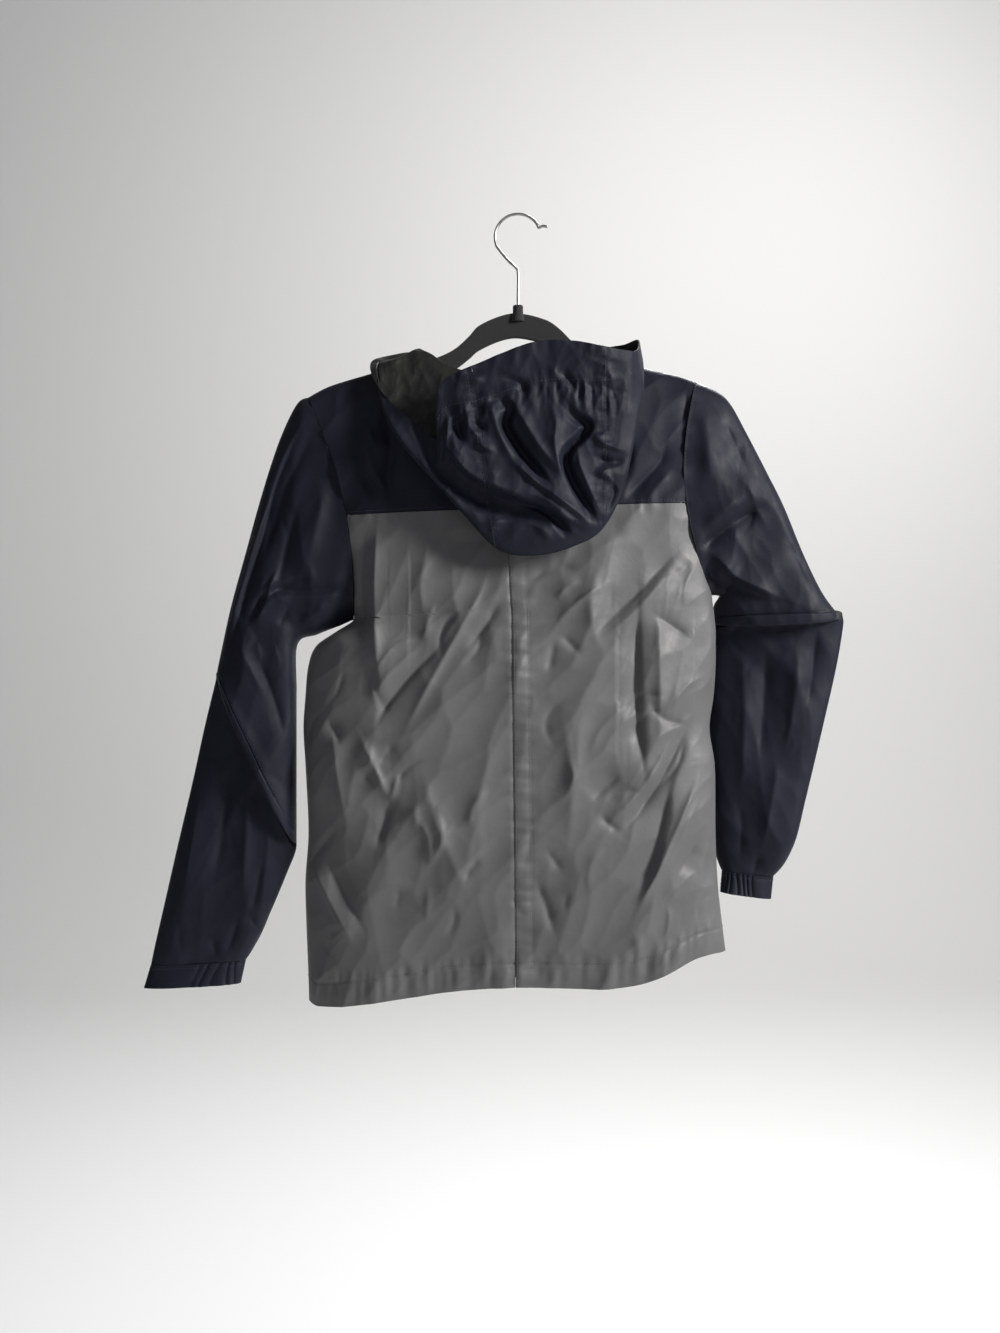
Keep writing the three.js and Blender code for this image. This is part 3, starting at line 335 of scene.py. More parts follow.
def crease_lift(x, z, creases):
    """Sum of the creases (points, width, height, lean, and how steep its walls are) at points in mm."""
    total = np.zeros(np.shape(x))
    for points, width, height, lean, *wall in creases:
        line = along(points, np.linspace(0, len(points) - 1, CURVE_STEPS * (len(points) - 1) + 1))
        reach = REACH * width
        near = ((x > line[:, 0].min() - reach) & (x < line[:, 0].max() + reach)
                & (z > line[:, 1].min() - reach) & (z < line[:, 1].max() + reach))
        if not near.any():
            continue
        px, pz = x[near], z[near]
        lengths = np.hypot(*np.diff(line, axis=0).T)
        start = np.concatenate([[0], np.cumsum(lengths)])
        best = np.full(px.shape, np.inf)
        side, place = np.zeros(px.shape), np.zeros(px.shape)
        for (ax, az), (bx, bz), length, before in zip(line[:-1], line[1:], lengths, start):
            dx, dz = (bx - ax) / length, (bz - az) / length
            t = np.clip((px - ax) * dx + (pz - az) * dz, 0, length)
            distance = np.hypot(px - ax - dx * t, pz - az - dz * t)
            closer = distance < best
            best = np.where(closer, distance, best)
            side = np.where(closer, np.sign((px - ax) * dz - (pz - az) * dx), side)
            place = np.where(closer, before + t, place)
        whole = start[-1]
        taper = ease(np.minimum(place, whole - place) / (0.3 * whole + 2)) * 0.9 + 0.1
        spread = width * (1 + lean * side)
        sharp = np.sqrt(best ** 2 + CREST ** 2) - CREST
        total[near] += height * taper * np.exp(-(sharp / spread) ** (wall[0] if wall else 1.0))
    return total


def crumple(x, z, size, tall, seed, tilt=0.0):
    """Hollows that meet in straight sharp ridges, about -1 to 1, in cells `size` by `tall` mm and tilted."""
    turn = math.radians(tilt)
    a = (x * math.cos(turn) - z * math.sin(turn)) / size + SHIFT
    b = (x * math.sin(turn) + z * math.cos(turn)) / tall + SHIFT
    a, b = a + 0.16 * np.sin(2.3 * b + seed) + 0.07 * np.sin(5.1 * b), b + 0.16 * np.sin(2.9 * a + 2 * seed)
    jitter = np.random.default_rng(int(seed * 10)).random((3, CELLS, CELLS))
    column, row = np.floor(a).astype(int), np.floor(b).astype(int)
    best = np.full(np.shape(a), 9.0)
    for i in (-1, 0, 1):
        for k in (-1, 0, 1):
            ja, jb, rise = jitter[:, (column + i) % CELLS, (row + k) % CELLS]
            best = np.minimum(best, (a - column - i - ja) ** 2 + (b - row - k - jb) ** 2 + 0.3 * rise)
    return (best * 2 - 0.75).clip(-1, 1)


def scattered_creases(count, corner, size, angle, seed, long=(26, 70), width=(3, 6), height=(1.4, 3.4)):
    """Random short creases in a box of the front view; `angle` is their usual direction in degrees."""
    draw = np.random.default_rng(seed)
    creases = []
    for k in range(count):
        x, z = corner + draw.random(2) * size
        turn = math.radians(angle + draw.normal(0, 17))
        length, bend = draw.uniform(*long), draw.normal(0, 0.16)
        along_x, along_z = math.cos(turn), math.sin(turn)
        points = [(x + t * length * along_x - bend * length * (1 - 4 * t * t) * along_z,
                   z + t * length * along_z + bend * length * (1 - 4 * t * t) * along_x)
                  for t in (-0.5, -0.17, 0.17, 0.5)]
        rise = draw.uniform(*height) * (1 if k % 2 else -1)
        creases.append((points, draw.uniform(*width), rise, draw.uniform(-0.6, 0.6)))
    return creases


print("crease helper ready; crumple at 0:", round(float(crumple(np.zeros(1), np.zeros(1), 60, 90, 1)[0]), 3))

# %% A closed wall from a grid of points
CUT_EDGE = math.radians(75)  # a turn sharper than this is a cut edge, not a fold


def grid_normals(points, round_=False):
    """Normals of a grid of points (rows, columns, 3), from its neighbours."""
    du = np.roll(points, -1, 1) - np.roll(points, 1, 1)
    if not round_:
        du[:, 0] = points[:, 1] - points[:, 0]
        du[:, -1] = points[:, -1] - points[:, -2]
    dv = np.empty_like(points)
    dv[1:-1] = points[2:] - points[:-2]
    dv[0], dv[-1] = points[1] - points[0], points[-1] - points[-2]
    normal = np.cross(du, dv)
    return normal / np.maximum(np.linalg.norm(normal, axis=-1, keepdims=True), 1e-9)


def cloth_wall(name, points, thick=0.8, side=1, round_=False):
    """A closed thin wall on a grid (mm), with a UV map in metres; the second material is its reverse."""
    rows, columns = points.shape[:2]
    normal = grid_normals(points, round_) * side
    if np.ndim(thick) == 0:
        thick = np.full(points.shape[:2], float(thick))
    inner = points - normal * thick[..., None]
    stack = np.concatenate([points.reshape(-1, 3), inner.reshape(-1, 3)]) * MM
    index = np.arange(rows * columns).reshape(rows, columns)
    right = np.roll(index, -1, 1) if round_ else index[:, 1:]
    left = index if round_ else index[:, :-1]
    a, b, c, d = left[:-1], right[:-1], right[1:], left[1:]
    outer = np.stack([a, b, c, d], -1).reshape(-1, 4)
    under = rows * columns
    if side < 0:
        outer = outer[:, ::-1]
    faces = [outer, outer[:, ::-1] + under]

    def rim(first, second, flip):
        strip = np.stack([first, second, second + under, first + under], -1).reshape(-1, 4)
        faces.append(strip[:, ::-1] if flip else strip)

    rim(right[0], left[0], side < 0)
    rim(left[-1], right[-1], side < 0)
    if not round_:
        rim(index[:-1, 0], index[1:, 0], side < 0)
        rim(index[1:, -1], index[:-1, -1], side < 0)
    faces = np.concatenate(faces)
    mesh = bpy.data.meshes.new(name)
    mesh.vertices.add(len(stack))
    mesh.vertices.foreach_set("co", stack.ravel())
    mesh.loops.add(faces.size)
    mesh.loops.foreach_set("vertex_index", faces.ravel().astype(np.int32))
    mesh.polygons.add(len(faces))
    mesh.polygons.foreach_set("loop_start", np.arange(0, faces.size, 4, dtype=np.int32))
    reverse = np.zeros(len(faces), np.int32)
    reverse[len(outer):2 * len(outer)] = 1
    mesh.polygons.foreach_set("material_index", reverse)
    mesh.update(calc_edges=True)
    mesh.validate()
    across = np.linalg.norm(np.diff(points, axis=1), axis=-1)
    u = np.concatenate([np.zeros((rows, 1)), np.cumsum(across, 1)], 1)
    u -= u[:, columns // 2:columns // 2 + 1]
    down = np.linalg.norm(np.diff(points, axis=0), axis=-1)
    v = np.concatenate([np.zeros((1, columns)), np.cumsum(down, 0)], 0)
    flat = np.stack([u, -v], -1).reshape(-1, 2) * MM
    layer = mesh.uv_layers.new(name="cloth")
    where = np.empty(len(mesh.loops), np.int32)
    mesh.loops.foreach_get("vertex_index", where)
    layer.data.foreach_set("uv", flat[where % under].ravel())
    mesh.shade_smooth()
    mesh.set_sharp_from_angle(angle=CUT_EDGE)
    return new_object(name, mesh)


print("wall helper ready")

# %% [markdown]
# ## Body: two back panels, two front panels and the yokes
# On the real jacket the grey body is four panels of coated nylon, and a navy yoke crosses the shoulders, sewn
# over their upper edge. All six pieces lie on one surface here, so a crease runs across a seam as cloth does.
# Every seam pulls its edges in a little, which makes short puckers beside the thread; the hem is a casing
# turned up and stitched, so it stands a little proud and ruffles below its stitches.

# %% Creases of the back, yoke and front: points (x, z), width, height, lean, and some with steeper walls
BACK_CREASES = [
    ([(-138, -310), (-141, -387), (-135, -476)], 9, 7, -0.35),
    ([(-151, -324), (-154, -378), (-151, -431)], 8, -5, 0),
    ([(-28, -349), (-37, -378), (-57, -416), (-71, -440), (-95, -484), (-115, -524)], 5, 3.2, 0.3),
    ([(-18, -387), (-32, -411), (-52, -437)], 6, -4, 0),
    ([(-70, -426), (-105, -460), (-128, -489), (-140, -515)], 8, -6, 0.2),
    ([(-90, -426), (-120, -453), (-146, -484)], 7, 3, 0),
    ([(-187, -501), (-179, -516), (-174, -528)], 5, -3, 0),
    ([(-155, -516), (-139, -550), (-125, -582)], 6, 4.5, 0.3),
    ([(-182, -505), (-177, -556), (-167, -611)], 13, 5.5, -0.2),
    ([(-123, -576), (-130, -602), (-140, -631)], 8, -5, 0),
    ([(-116, -553), (-121, -571), (-126, -583)], 4, 3, 0),
    ([(-206, -643), (-184, -682), (-161, -721)], 9, 4.5, -0.3),
    ([(-190, -637), (-168, -677), (-148, -711)], 8, -4, 0),
    ([(117, -373), (115, -445), (117, -508), (124, -566)], 6, -5, 0.5),
    ([(135, -387), (137, -455), (137, -523)], 11, 4.5, -0.2),
    ([(164, -327), (117, -379), (67, -424)], 9, -5, 0.3),
    ([(152, -349), (117, -393), (79, -426)], 7, 3, 0),
    ([(168, -505), (144, -552), (125, -582), (100, -613)], 9, -7, 0.3),
    ([(141, -542), (117, -573), (90, -600)], 7, 4, 0),
    ([(77, -592), (88, -604), (100, -611)], 5, -3, 0),
    ([(130, -399), (148, -410), (168, -423)], 5, -3, 0.2),
    ([(125, -484), (142, -502), (168, -509)], 5, -3, -0.2),
    ([(150, -557), (133, -627), (115, -682)], 8, -5, 0.3),
    ([(181, -550), (148, -621), (110, -701)], 5, 3, -0.3),
    ([(177, -579), (156, -621), (133, -662)], 4, 2.5, 0),
    ([(16, -656), (26, -682), (36, -714)], 6, -3.2, 0),
    ([(26, -627), (33, -637), (42, -650)], 4, -2.2, 0),
    ([(36, -424), (32, -440), (29, -459)], 5, -2.4, 0),
    ([(40, -419), (50, -429), (61, -441)], 4, -2, 0),
    ([(-95, -542), (-80, -600), (-47, -677)], 14, 3, 0.2),
    ([(40, -484), (52, -561), (46, -639)], 16, 3, -0.2),
    ([(79, -349), (69, -387), (75, -426)], 9, 2.5, 0),
    ([(-86, -329), (-95, -368), (-91, -407)], 10, 2.5, 0),
]
YOKE_CREASES = [
    ([(-164, -223), (-152, -260), (-144, -294)], 6, -4.5, 0.3),
    ([(-156, -217), (-142, -258), (-123, -289)], 5, 3.2, -0.2),
    ([(-152, -209), (-145, -225), (-137, -240)], 4, 2.4, 0),
    ([(101, -292), (117, -274), (138, -252), (147, -227)], 8, -5.5, 0.2),
    ([(119, -297), (134, -277), (152, -256)], 6, 3, 0),
    ([(167, -177), (165, -196), (159, -219)], 5, -2.5, 0),
    ([(-184, -240), (-176, -269), (-172, -299)], 7, 3, 0),
    ([(-132, -206), (-124, -236), (-128, -272), (-120, -296)], 4.4, -3.2, 0, 2),
    ([(-112, -196), (-106, -232), (-98, -270)], 5, 2.8, -0.5),
    ([(88, -298), (104, -262), (108, -226)], 4.4, -3.4, 0, 2),
]
FRONT_CREASES = [
    ([(-120, -330), (-128, -430), (-132, -520)], 12, 4, 0.2),
    ([(108, -340), (112, -420), (118, -500)], 12, -4, 0),
    ([(-160, -430), (-118, -500), (-80, -560)], 10, -4, 0.2),
    ([(150, -410), (112, -470), (70, -540)], 10, 4, -0.2),
    ([(-100, -590), (-112, -650), (-130, -700)], 14, 4, 0),
    ([(60, -580), (72, -640), (90, -700)], 13, -4, 0),
    ([(-60, -260), (-90, -330), (-96, -400)], 8, 3, 0.2),
    ([(60, -250), (86, -320), (92, -380)], 8, -3, 0),
    ([(-40, -480), (-60, -560), (-52, -640)], 9, 3, 0),
    ([(30, -440), (52, -520), (44, -600)], 9, 3, 0.2),
]
BACK_SCATTER = (
    scattered_creases(24, (-200, -700), (190, 330), -118, 5)
    + scattered_creases(26, (0, -700), (190, 350), -125, 6)
    + scattered_creases(14, (-190, -760), (380, 90), -95, 7, (18, 40), (2.5, 4), (0.9, 1.8)))
FRONT_SCATTER = scattered_creases(34, (-190, -720), (380, 480), -70, 15)
print(len(BACK_CREASES), "creases on the back,", len(YOKE_CREASES), "on the yoke")

# %% Puckers beside a seam
def pucker(offset, run, reach, pitch, height, seed):
    """Short ridges across a seam: `offset` is the distance from it, `run` the place along it (mm)."""
    shape = np.shape(offset)
    near = np.abs(np.ravel(offset)) < 3 * reach
    values = np.zeros(near.shape)
    spots = np.ravel(run)[near] / pitch
    values[near] = [noise.noise(Vector((s, seed, 0.3)), noise_basis="PERLIN_ORIGINAL") * 2.2 for s in spots]
    return height * values.reshape(shape) * np.exp(-(offset / reach) ** 2)


def stitched_groove(offset, width=1.6, depth=0.7):
    return -depth * np.exp(-(offset / width) ** 2)


print("pucker at a seam:", pucker(np.zeros(3), np.array([0.0, 4.0, 9.0]), 8, 9, 1, 2).round(2).tolist())

# %% The cloth of the body, with its creases
def yoke_line(x):
    """Height of the yoke seam at a place across the body."""
    (ax, az), (bx, bz) = row_ends(np.ones(1))
    return az + (bz - az) * (x - ax) / (bx - ax)


def under_hood(x, z):
    """1 where the hood covers the back, which it holds smooth."""
    return ease((120 - np.abs(x + 8)) / 20) * ease((z + 335) / 20)


def back_relief(x, z, v):
    lift = 1.35 * crease_lift(x, z, BACK_CREASES) + 1.2 * crease_lift(x, z, YOKE_CREASES)
    lift += crease_lift(x, z, BACK_SCATTER)
    lift += 3.6 * crumple(x, z, 58, 120, 3.7, 27) + 1.9 * crumple(x, z, 26, 56, 9.1, 34)
    lift *= 1 - 0.95 * under_hood(x, z)
    seam = z - yoke_line(x)
    lift += pucker(seam, x, 9, 7, 0.5, 4.4) + np.where(v <= 1, 0.9, 0) * hill(seam, 14)
    lift += stitched_groove(seam - 2.4, 1.2, 0.35)
    middle = x - centre_x(-1, v)
    below = np.where(v > 1, ease((v - 1) / 0.05), 0)
    lift += below * (pucker(middle - 8, z, 11, 7.5, 1.0, 1.2) + 0.8 * hill(middle - 9, 12))
    lift += below * (stitched_groove(middle, 1.4, 0.8) + stitched_groove(middle - 16, 1.4, 0.5))
    return lift


def front_relief(x, z, v):
    lift = crease_lift(x, z, FRONT_CREASES) + crease_lift(x, z, FRONT_SCATTER)
    lift += 4.5 * crumple(x, z, 64, 120, 13.7, -20) + 1.2 * crumple(x, z, 25, 48, 19.1, -28)
    middle = x - centre_x(1, v)
    lift *= ease((np.abs(middle) - 6) / 22)
    lift += pucker(np.abs(middle) - 12, z, 8, 8, 0.5, 2.9) * ease((np.abs(middle) - 4) / 3)
    lift += stitched_groove(np.abs(middle) - 9, 1.2, 0.4)
    seam = z - yoke_line(x)
    return lift + pucker(seam, x, 9, 8, 0.5, 6.1) + np.where(v <= 1, 0.8, 0) * hill(seam, 14)


BODY_LONG, HEM_FROM = 370, 2.6  # mm from underarm to hem stitches, and the v where the hem's ruffles start


def hem_relief(x, v, seed):
    """The turned-up casing: a groove at its stitches, ruffles below and shorter ones above."""
    drop = (v - 3) * np.where(v < 3, BODY_LONG, HEM)
    ruffle = pucker(drop - 9, x, 13, 8, 0.95, seed) + pucker(drop + 4, x, 6, 6, 0.5, seed + 3)
    return ruffle + stitched_groove(drop, 1.5, 1.0) + 0.9 * hill(drop - 13, 12)


def body_cloth(turn, v):
    """Points (mm) of the creased body."""
    points, level = turned(turn, v)
    v = np.broadcast_to(v, turn.shape)
    x, z = points[..., 0], points[..., 2]
    back = (turn < 0) | (turn > np.pi)
    lift = np.zeros(x.shape)
    for part, relief, seed in ((back, back_relief, 21.0), (~back, front_relief, 27.0)):
        if part.any():
            hem = np.where(v[part] > HEM_FROM, hem_relief(x[part], v[part], seed), 0)
            lift[part] = relief(x[part], z[part], v[part]) + hem
    free = np.clip(level / 15, 0, 1)
    points[..., 1] += np.where(back, -1, 1) * lift * free
    return points


def rows_between(*stops):
    """Row values through stops of (v, next v, count)."""
    parts = [np.linspace(a, b, n + 1)[(0 if k == 0 else 1):] for k, (a, b, n) in enumerate(stops)]
    return np.concatenate(parts)


print("a point of the back:", body_cloth(np.array([-1.2]), np.array([2.2]))[0].round(1).tolist())

# %% [markdown]
# ## Finishes
# Coated nylon is a fine plain weave with a thin film on it. The film gives a soft gloss that breaks up on
# tiny crinkles, so the shader gets two bumps: the weave, on the cloth's own UV map in metres, and the
# crinkles, on object coordinates. The colour drifts a little, because the film takes dye unevenly. Values
# that are the same all over, such as sheen, sit directly on the shader's sockets.

# %% Node helpers
WAVE_LENGTH = 0.314  # m, one band of a wave texture at a scale of 1


class Finish:
    """A material under construction: a shader and a few texture helpers."""

    def __init__(self, name, roughness=0.5, metallic=0.0, **sockets):
        self.material = bpy.data.materials.new(name)
        self.material.use_nodes = True
        self.tree = self.material.node_tree
        self.shader = self.tree.nodes["Principled BSDF"]
        self.shader.inputs["Roughness"].default_value = roughness
        self.shader.inputs["Metallic"].default_value = metallic
        for socket, value in sockets.items():
            self.shader.inputs[socket.replace("_", " ")].default_value = value
        self.bump = None

    def node(self, kind, **values):
        made = self.tree.nodes.new(kind)
        for key, value in values.items():
            if key in made.inputs:
                made.inputs[key].default_value = value
            else:
                setattr(made, key, value)
        return made

    def link(self, output, socket):
        self.tree.links.new(output, socket)

    def place(self, space="Object", stretch=(1, 1, 1)):
        coords = self.node("ShaderNodeTexCoord")
        mapping = self.node("ShaderNodeMapping")
        mapping.inputs["Scale"].default_value = stretch
        self.link(coords.outputs[space], mapping.inputs["Vector"])
        return mapping.outputs[0]

    def noise(self, scale, detail=3, roughness=0.5, distortion=0.0, space="Object", stretch=(1, 1, 1)):
        made = self.node("ShaderNodeTexNoise", Scale=scale, Detail=detail, Roughness=roughness,
                         Distortion=distortion)
        self.link(self.place(space, stretch), made.inputs["Vector"])
        return made.outputs["Fac"]

    def ranged(self, value, low, high, start=0.3, end=0.7):
        made = self.node("ShaderNodeMapRange")
        for socket, number in (("From Min", start), ("From Max", end), ("To Min", low), ("To Max", high)):
            made.inputs[socket].default_value = number
        self.link(value, made.inputs["Value"])
        return made.outputs[0]

    def bumped(self, height, distance, strength=1.0):
        made = self.node("ShaderNodeBump")
        made.inputs["Distance"].default_value = distance
        made.inputs["Strength"].default_value = strength
        self.link(height, made.inputs["Height"])
        if self.bump is not None:
            self.link(self.bump, made.inputs["Normal"])
        self.bump = made.outputs[0]
        self.link(self.bump, self.shader.inputs["Normal"])

    def coloured(self, fac, first, second):
        blend = self.node("ShaderNodeMix", data_type="RGBA")
        blend.inputs[6].default_value = (*first, 1)
        blend.inputs[7].default_value = (*second, 1)
        self.link(fac, blend.inputs[0])
        self.link(blend.outputs[2], self.shader.inputs["Base Color"])

    def drifting(self, scale, low, high, detail=3):
        """A roughness that wanders between two values."""
        self.link(self.ranged(self.noise(scale, detail), low, high), self.shader.inputs["Roughness"])

    def weave(self, pitch, distance):
        """Crossing threads on the cloth's own UV map, `pitch` metres apart."""
        waves = []
        for direction in ("X", "Y"):
            wave = self.node("ShaderNodeTexWave", wave_type="BANDS", bands_direction=direction,
                             Scale=WAVE_LENGTH / pitch, Distortion=0.4, Detail=1.0)
            self.link(self.place("UV"), wave.inputs["Vector"])
            waves.append(wave.outputs["Fac"])
        both = self.node("ShaderNodeMath", operation="MULTIPLY")
        self.link(waves[0], both.inputs[0])
        self.link(waves[1], both.inputs[1])
        self.bumped(both.outputs[0], distance, 0.6)


print("finish helper ready")

# %% Nylon: navy, grey and the charcoal reverse
def nylon(name, dark, light, roughness, sheen, gloss, crinkle=0.0004):
    made = Finish(name, roughness, Sheen_Weight=sheen, Sheen_Roughness=0.4, Specular_IOR_Level=gloss)
    made.coloured(made.ranged(made.noise(14, 4, 0.6), 0, 1), dark, light)
    made.weave(0.0007, 0.00006)
    made.bumped(made.noise(85, 5, 0.62, 0.8), crinkle, 0.7)
    made.bumped(made.noise(300, 2, 0.5), crinkle / 8, 0.6)
    made.drifting(60, roughness - 0.06, roughness + 0.1)
    return made.material


NAVY = nylon("navy_nylon", (0.0068, 0.0076, 0.0155), (0.0095, 0.0108, 0.0215), 0.56, 0.03, 0.2)
GREY = nylon("grey_nylon", (0.098, 0.098, 0.101), (0.12, 0.12, 0.123), 0.5, 0.08, 0.38)
REVERSE = nylon("charcoal_coating", (0.0115, 0.0115, 0.011), (0.0175, 0.0175, 0.016), 0.6, 0.03, 0.3, 0.0011)
print("nylons", NAVY.name, GREY.name, REVERSE.name)

# %% Thread, tape, metal and flock
def plain_finish(name, dark, light, roughness, metallic, grain, depth, **sockets):
    made = Finish(name, roughness, metallic, **sockets)
    made.coloured(made.ranged(made.noise(grain, 3, 0.6), 0, 1), dark, light)
    made.bumped(made.noise(grain * 4, 3, 0.6), depth, 0.6)
    made.drifting(grain * 2, roughness - 0.05, roughness + 0.08)
    return made.material


NAVY_THREAD = plain_finish("navy_thread", (0.018, 0.02, 0.035), (0.03, 0.033, 0.052), 0.55, 0, 400, 0.0001)
GREY_THREAD = plain_finish("grey_thread", (0.11, 0.11, 0.115), (0.17, 0.17, 0.175), 0.55, 0, 400, 0.0001)
TAPE = Finish("zip_tape", 0.8, Sheen_Weight=0.3)
TAPE.coloured(TAPE.ranged(TAPE.noise(300, 2), 0, 1), (0.008, 0.009, 0.014), (0.014, 0.016, 0.024))
TAPE.weave(0.0011, 0.0002)
TAPE = TAPE.material
TOOTH = plain_finish("zip_plastic", (0.010, 0.011, 0.014), (0.016, 0.017, 0.02), 0.35, 0, 250, 0.00005)
GUNMETAL = plain_finish("slider_metal", (0.09, 0.092, 0.1), (0.15, 0.152, 0.165), 0.36, 1, 180, 0.00005)
STEEL = Finish("hook_steel", 0.3, 1.0, Anisotropic=0.4)
STEEL.coloured(STEEL.ranged(STEEL.noise(160, 4, 0.6), 0, 1), (0.36, 0.355, 0.34), (0.52, 0.515, 0.5))
STEEL.bumped(STEEL.noise(600, 3, 0.6, stretch=(1, 1, 0.05)), 0.00004, 0.5)
STEEL.drifting(90, 0.24, 0.42)
STEEL = STEEL.material
FLOCK = plain_finish("hanger_black", (0.006, 0.006, 0.007), (0.012, 0.012, 0.013), 0.86, 0, 500, 0.00025,
                     Sheen_Weight=0.35, Sheen_Roughness=0.5)
print("finishes", [m.name for m in bpy.data.materials])

# %% [markdown]
# ## Making each cloth piece
# A piece is placed on its stretch of the surface and given its wall; its plain solid is hidden, so it stands
# for it, and it moves with the body. Its two materials are the right side and the coated reverse, which shows
# wherever the jacket is open.

# %% Putting a cloth piece in place of its plain solid
def half_area(obj):
    return sum(p.area for p in obj.data.polygons) / 2


def settle(obj, node, face):
    """Materials of one cloth piece; its plain solid is hidden and it moves with the root body."""
    obj.data.materials.append(face)
    obj.data.materials.append(REVERSE)
    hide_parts(node)
    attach(obj, "root")
    print(f"{obj.name}: {len(obj.data.polygons)} faces, {half_area(obj):.4f} m2")
    return obj


# %% Body panels
TINY = 1e-6
CLOTH, CASING = 0.8, 1.5  # mm, thickness of a single layer and of the turned-up casings
NAVY_SLOT, GREY_SLOT = "navy_nylon", "grey_nylon"


def back_edge(v, sign):
    return centre_turn(-1, v, sign * SEAM / 2)


def front_edge(v, sign):
    return centre_turn(1, v, sign * ZIP_GAP / 2)


def left_edge(v):
    return np.where(v <= 2, 2 * seam_turn(v), wrap_turn(v))


PANELS = {  # the turn at a share w of each row
    "back_panel_left": lambda w, v: mix(back_edge(v, -1), np.minimum(wrap_turn(v) - seam_turn(v), -TINY), w),
    "back_panel_right": lambda w, v: 2 * np.pi + mix(-np.pi + TINY, back_edge(v, 1), w),
    "front_panel_left": lambda w, v: mix(left_edge(v), front_edge(v, -1), w),
    "front_panel_right": lambda w, v: mix(front_edge(v, 1), np.pi, w)}
GRIDS = {  # columns, rows between stops of v, and the flat cut in metres
    "back": (138, ((1.004, 2, 58), (2, 3, 210), (3, 4, 16)), (0.235, 0.495)),
    "front": (66, ((1.004, 2, 30), (2, 3, 104), (3, 4, 10)), (0.215, 0.495))}
for name, turn_of in PANELS.items():
    columns, stops, flat = GRIDS[name.split("_")[0]]
    w, v = np.meshgrid(np.linspace(0, 1, columns), rows_between(*stops))
    points = body_cloth(turn_of(w, v), v)
    piece = cloth_wall(name.replace("panel", "panel_cloth"), points, np.where(v > 2.99, CASING, CLOTH))
    settle(piece, name, GREY)

# %% Yokes: their neck edges follow the hood's seam
HOOD_NECK = [-13.5, -46, -75, -91, -98, -94, -86, -76, -66, -56, -45, -32, -8, 20, 40, 54, 66, 74, 78, 72, 56,
             28, -4.5]


def neck_x(u):
    return along(HOOD_NECK, u)


def neck_turn(u):
    return turn_at((neck_x(u) - ARMHOLE["left"][0]) / (ARMHOLE["right"][0] - ARMHOLE["left"][0]))


NECK_FROM, NECK_TO = (float(neck_turn(np.array(u))) for u in (4.0, 18.0))


def yoke_left(w, v):
    return np.where(w < 1, NECK_FROM * w, mix(NECK_FROM, front_edge(v, -1), w - 1))


def yoke_right(w, v):
    return np.where(w < 1, mix(front_edge(v, 1), NECK_TO, w), mix(NECK_TO, np.pi, w - 1))


YOKES = {  # turn at w, how far w runs, columns, rows, flat cut, share
    "back_yoke": (lambda w, v: mix(-np.pi, -TINY, w) + 0 * v, 1, 184, 76, (0.42, 0.19), 0.8),
    "front_yoke_left": (yoke_left, 2, 84, 60, (0.21, 0.18), 0.75),
    "front_yoke_right": (yoke_right, 2, 84, 60, (0.21, 0.18), 0.75)}
for name, (turn_of, span, columns, rows, flat, share) in YOKES.items():
    w, v = np.meshgrid(np.linspace(0, span, columns), np.linspace(0, 1, rows))
    piece = cloth_wall(name + "_cloth", body_cloth(turn_of(w, v), v))
    settle(piece, name, NAVY)

# %% [markdown]
# ## Sleeves and cuffs
# A sleeve is a tube that hangs nearly flat, so it is a stack of flattened rings from the armhole to the
# cuff. Where it buckles, at the elbow, the upper cloth drops over the lower: the rings there are drawn down
# and then back up, which folds the grid over itself and leaves a real overhang. The cuffs are casings drawn
# in by elastic, so their rings ripple.

# %% Rings of the sleeves: x, y, z of the outer and of the inner edge, swell of the back and front, bow
SLEEVE = {
    "left": np.array([
        (-209, 0, -182, -164, -3, -404, 24, 15, 16), (-221, 0, -189, -177, -3, -410, 25, 15, 9),
        (-238, -1, -225, -200, -3, -419, 25, 15, 4), (-256, -2, -281, -220, -3, -429, 24, 15, 0),
        (-271, -2, -335, -221, -3, -475, 23, 14, 0), (-286, -2, -390, -221, -3, -525, 23, 13, 0),
        (-297, -2, -440, -221, -3, -580, 25, 12, 0), (-300, -2, -455, -221, -3, -618, 27, 12, 0),
        (-302, -1, -465, -222, -2, -635, 17, 12, 0), (-313, 0, -510, -230, 0, -655, 16, 13, 0),
        (-325, 0, -565, -239, 0, -677, 17, 14, 0), (-339, 0, -625, -248, 0, -698, 18, 14, 0),
        (-352, 0, -682, -256, 0, -717, 17, 14, 0), (-363, 0, -730, -266, 0, -735, 14, 12, 0),
        (-367, 0, -749, -272, 0, -744, 11, 10, 0)], float),
    "right": np.array([
        (176, 0, -166, 193, -3, -380, 24, 15, -22), (200, 0, -177, 197, -3, -380, 26, 15, -14),
        (213, 0, -190, 201, -3, -380.5, 26, 15, -8), (228, -1, -218, 205, -2, -381, 25, 15, -4),
        (247, -2, -255, 202.5, -1, -382, 22, 15, 0), (265, -2, -291, 199.5, 2, -384.5, 20, 15, 0),
        (283, -2, -335, 197.5, 6, -388, 23, 14, 0), (302, -2, -375, 196, 10, -394, 26, 12, 0),
        (318, -1, -397, 195, 13, -402, 27, 10, 0), (325, 0, -403, 194.5, 14, -412, 17, 11, 0),
        (324, 1, -420, 195, 14, -430, 14, 12, 0), (318, 2, -455, 193, 15, -463, 15, 12, 0),
        (309, 2, -495, 189, 15, -500, 16, 12, 0), (298, 2, -542, 192, 15, -545, 17, 12, 0),
        (287, 2, -588, 194, 15, -590, 17, 12, 0), (278, 2, -624, 196, 14, -626, 16, 12, 0),
        (267, 3, -648, 201, 11, -646, 13, 11, 0), (256, 4, -661, 205, 8, -656, 10, 10, 0)], float)}
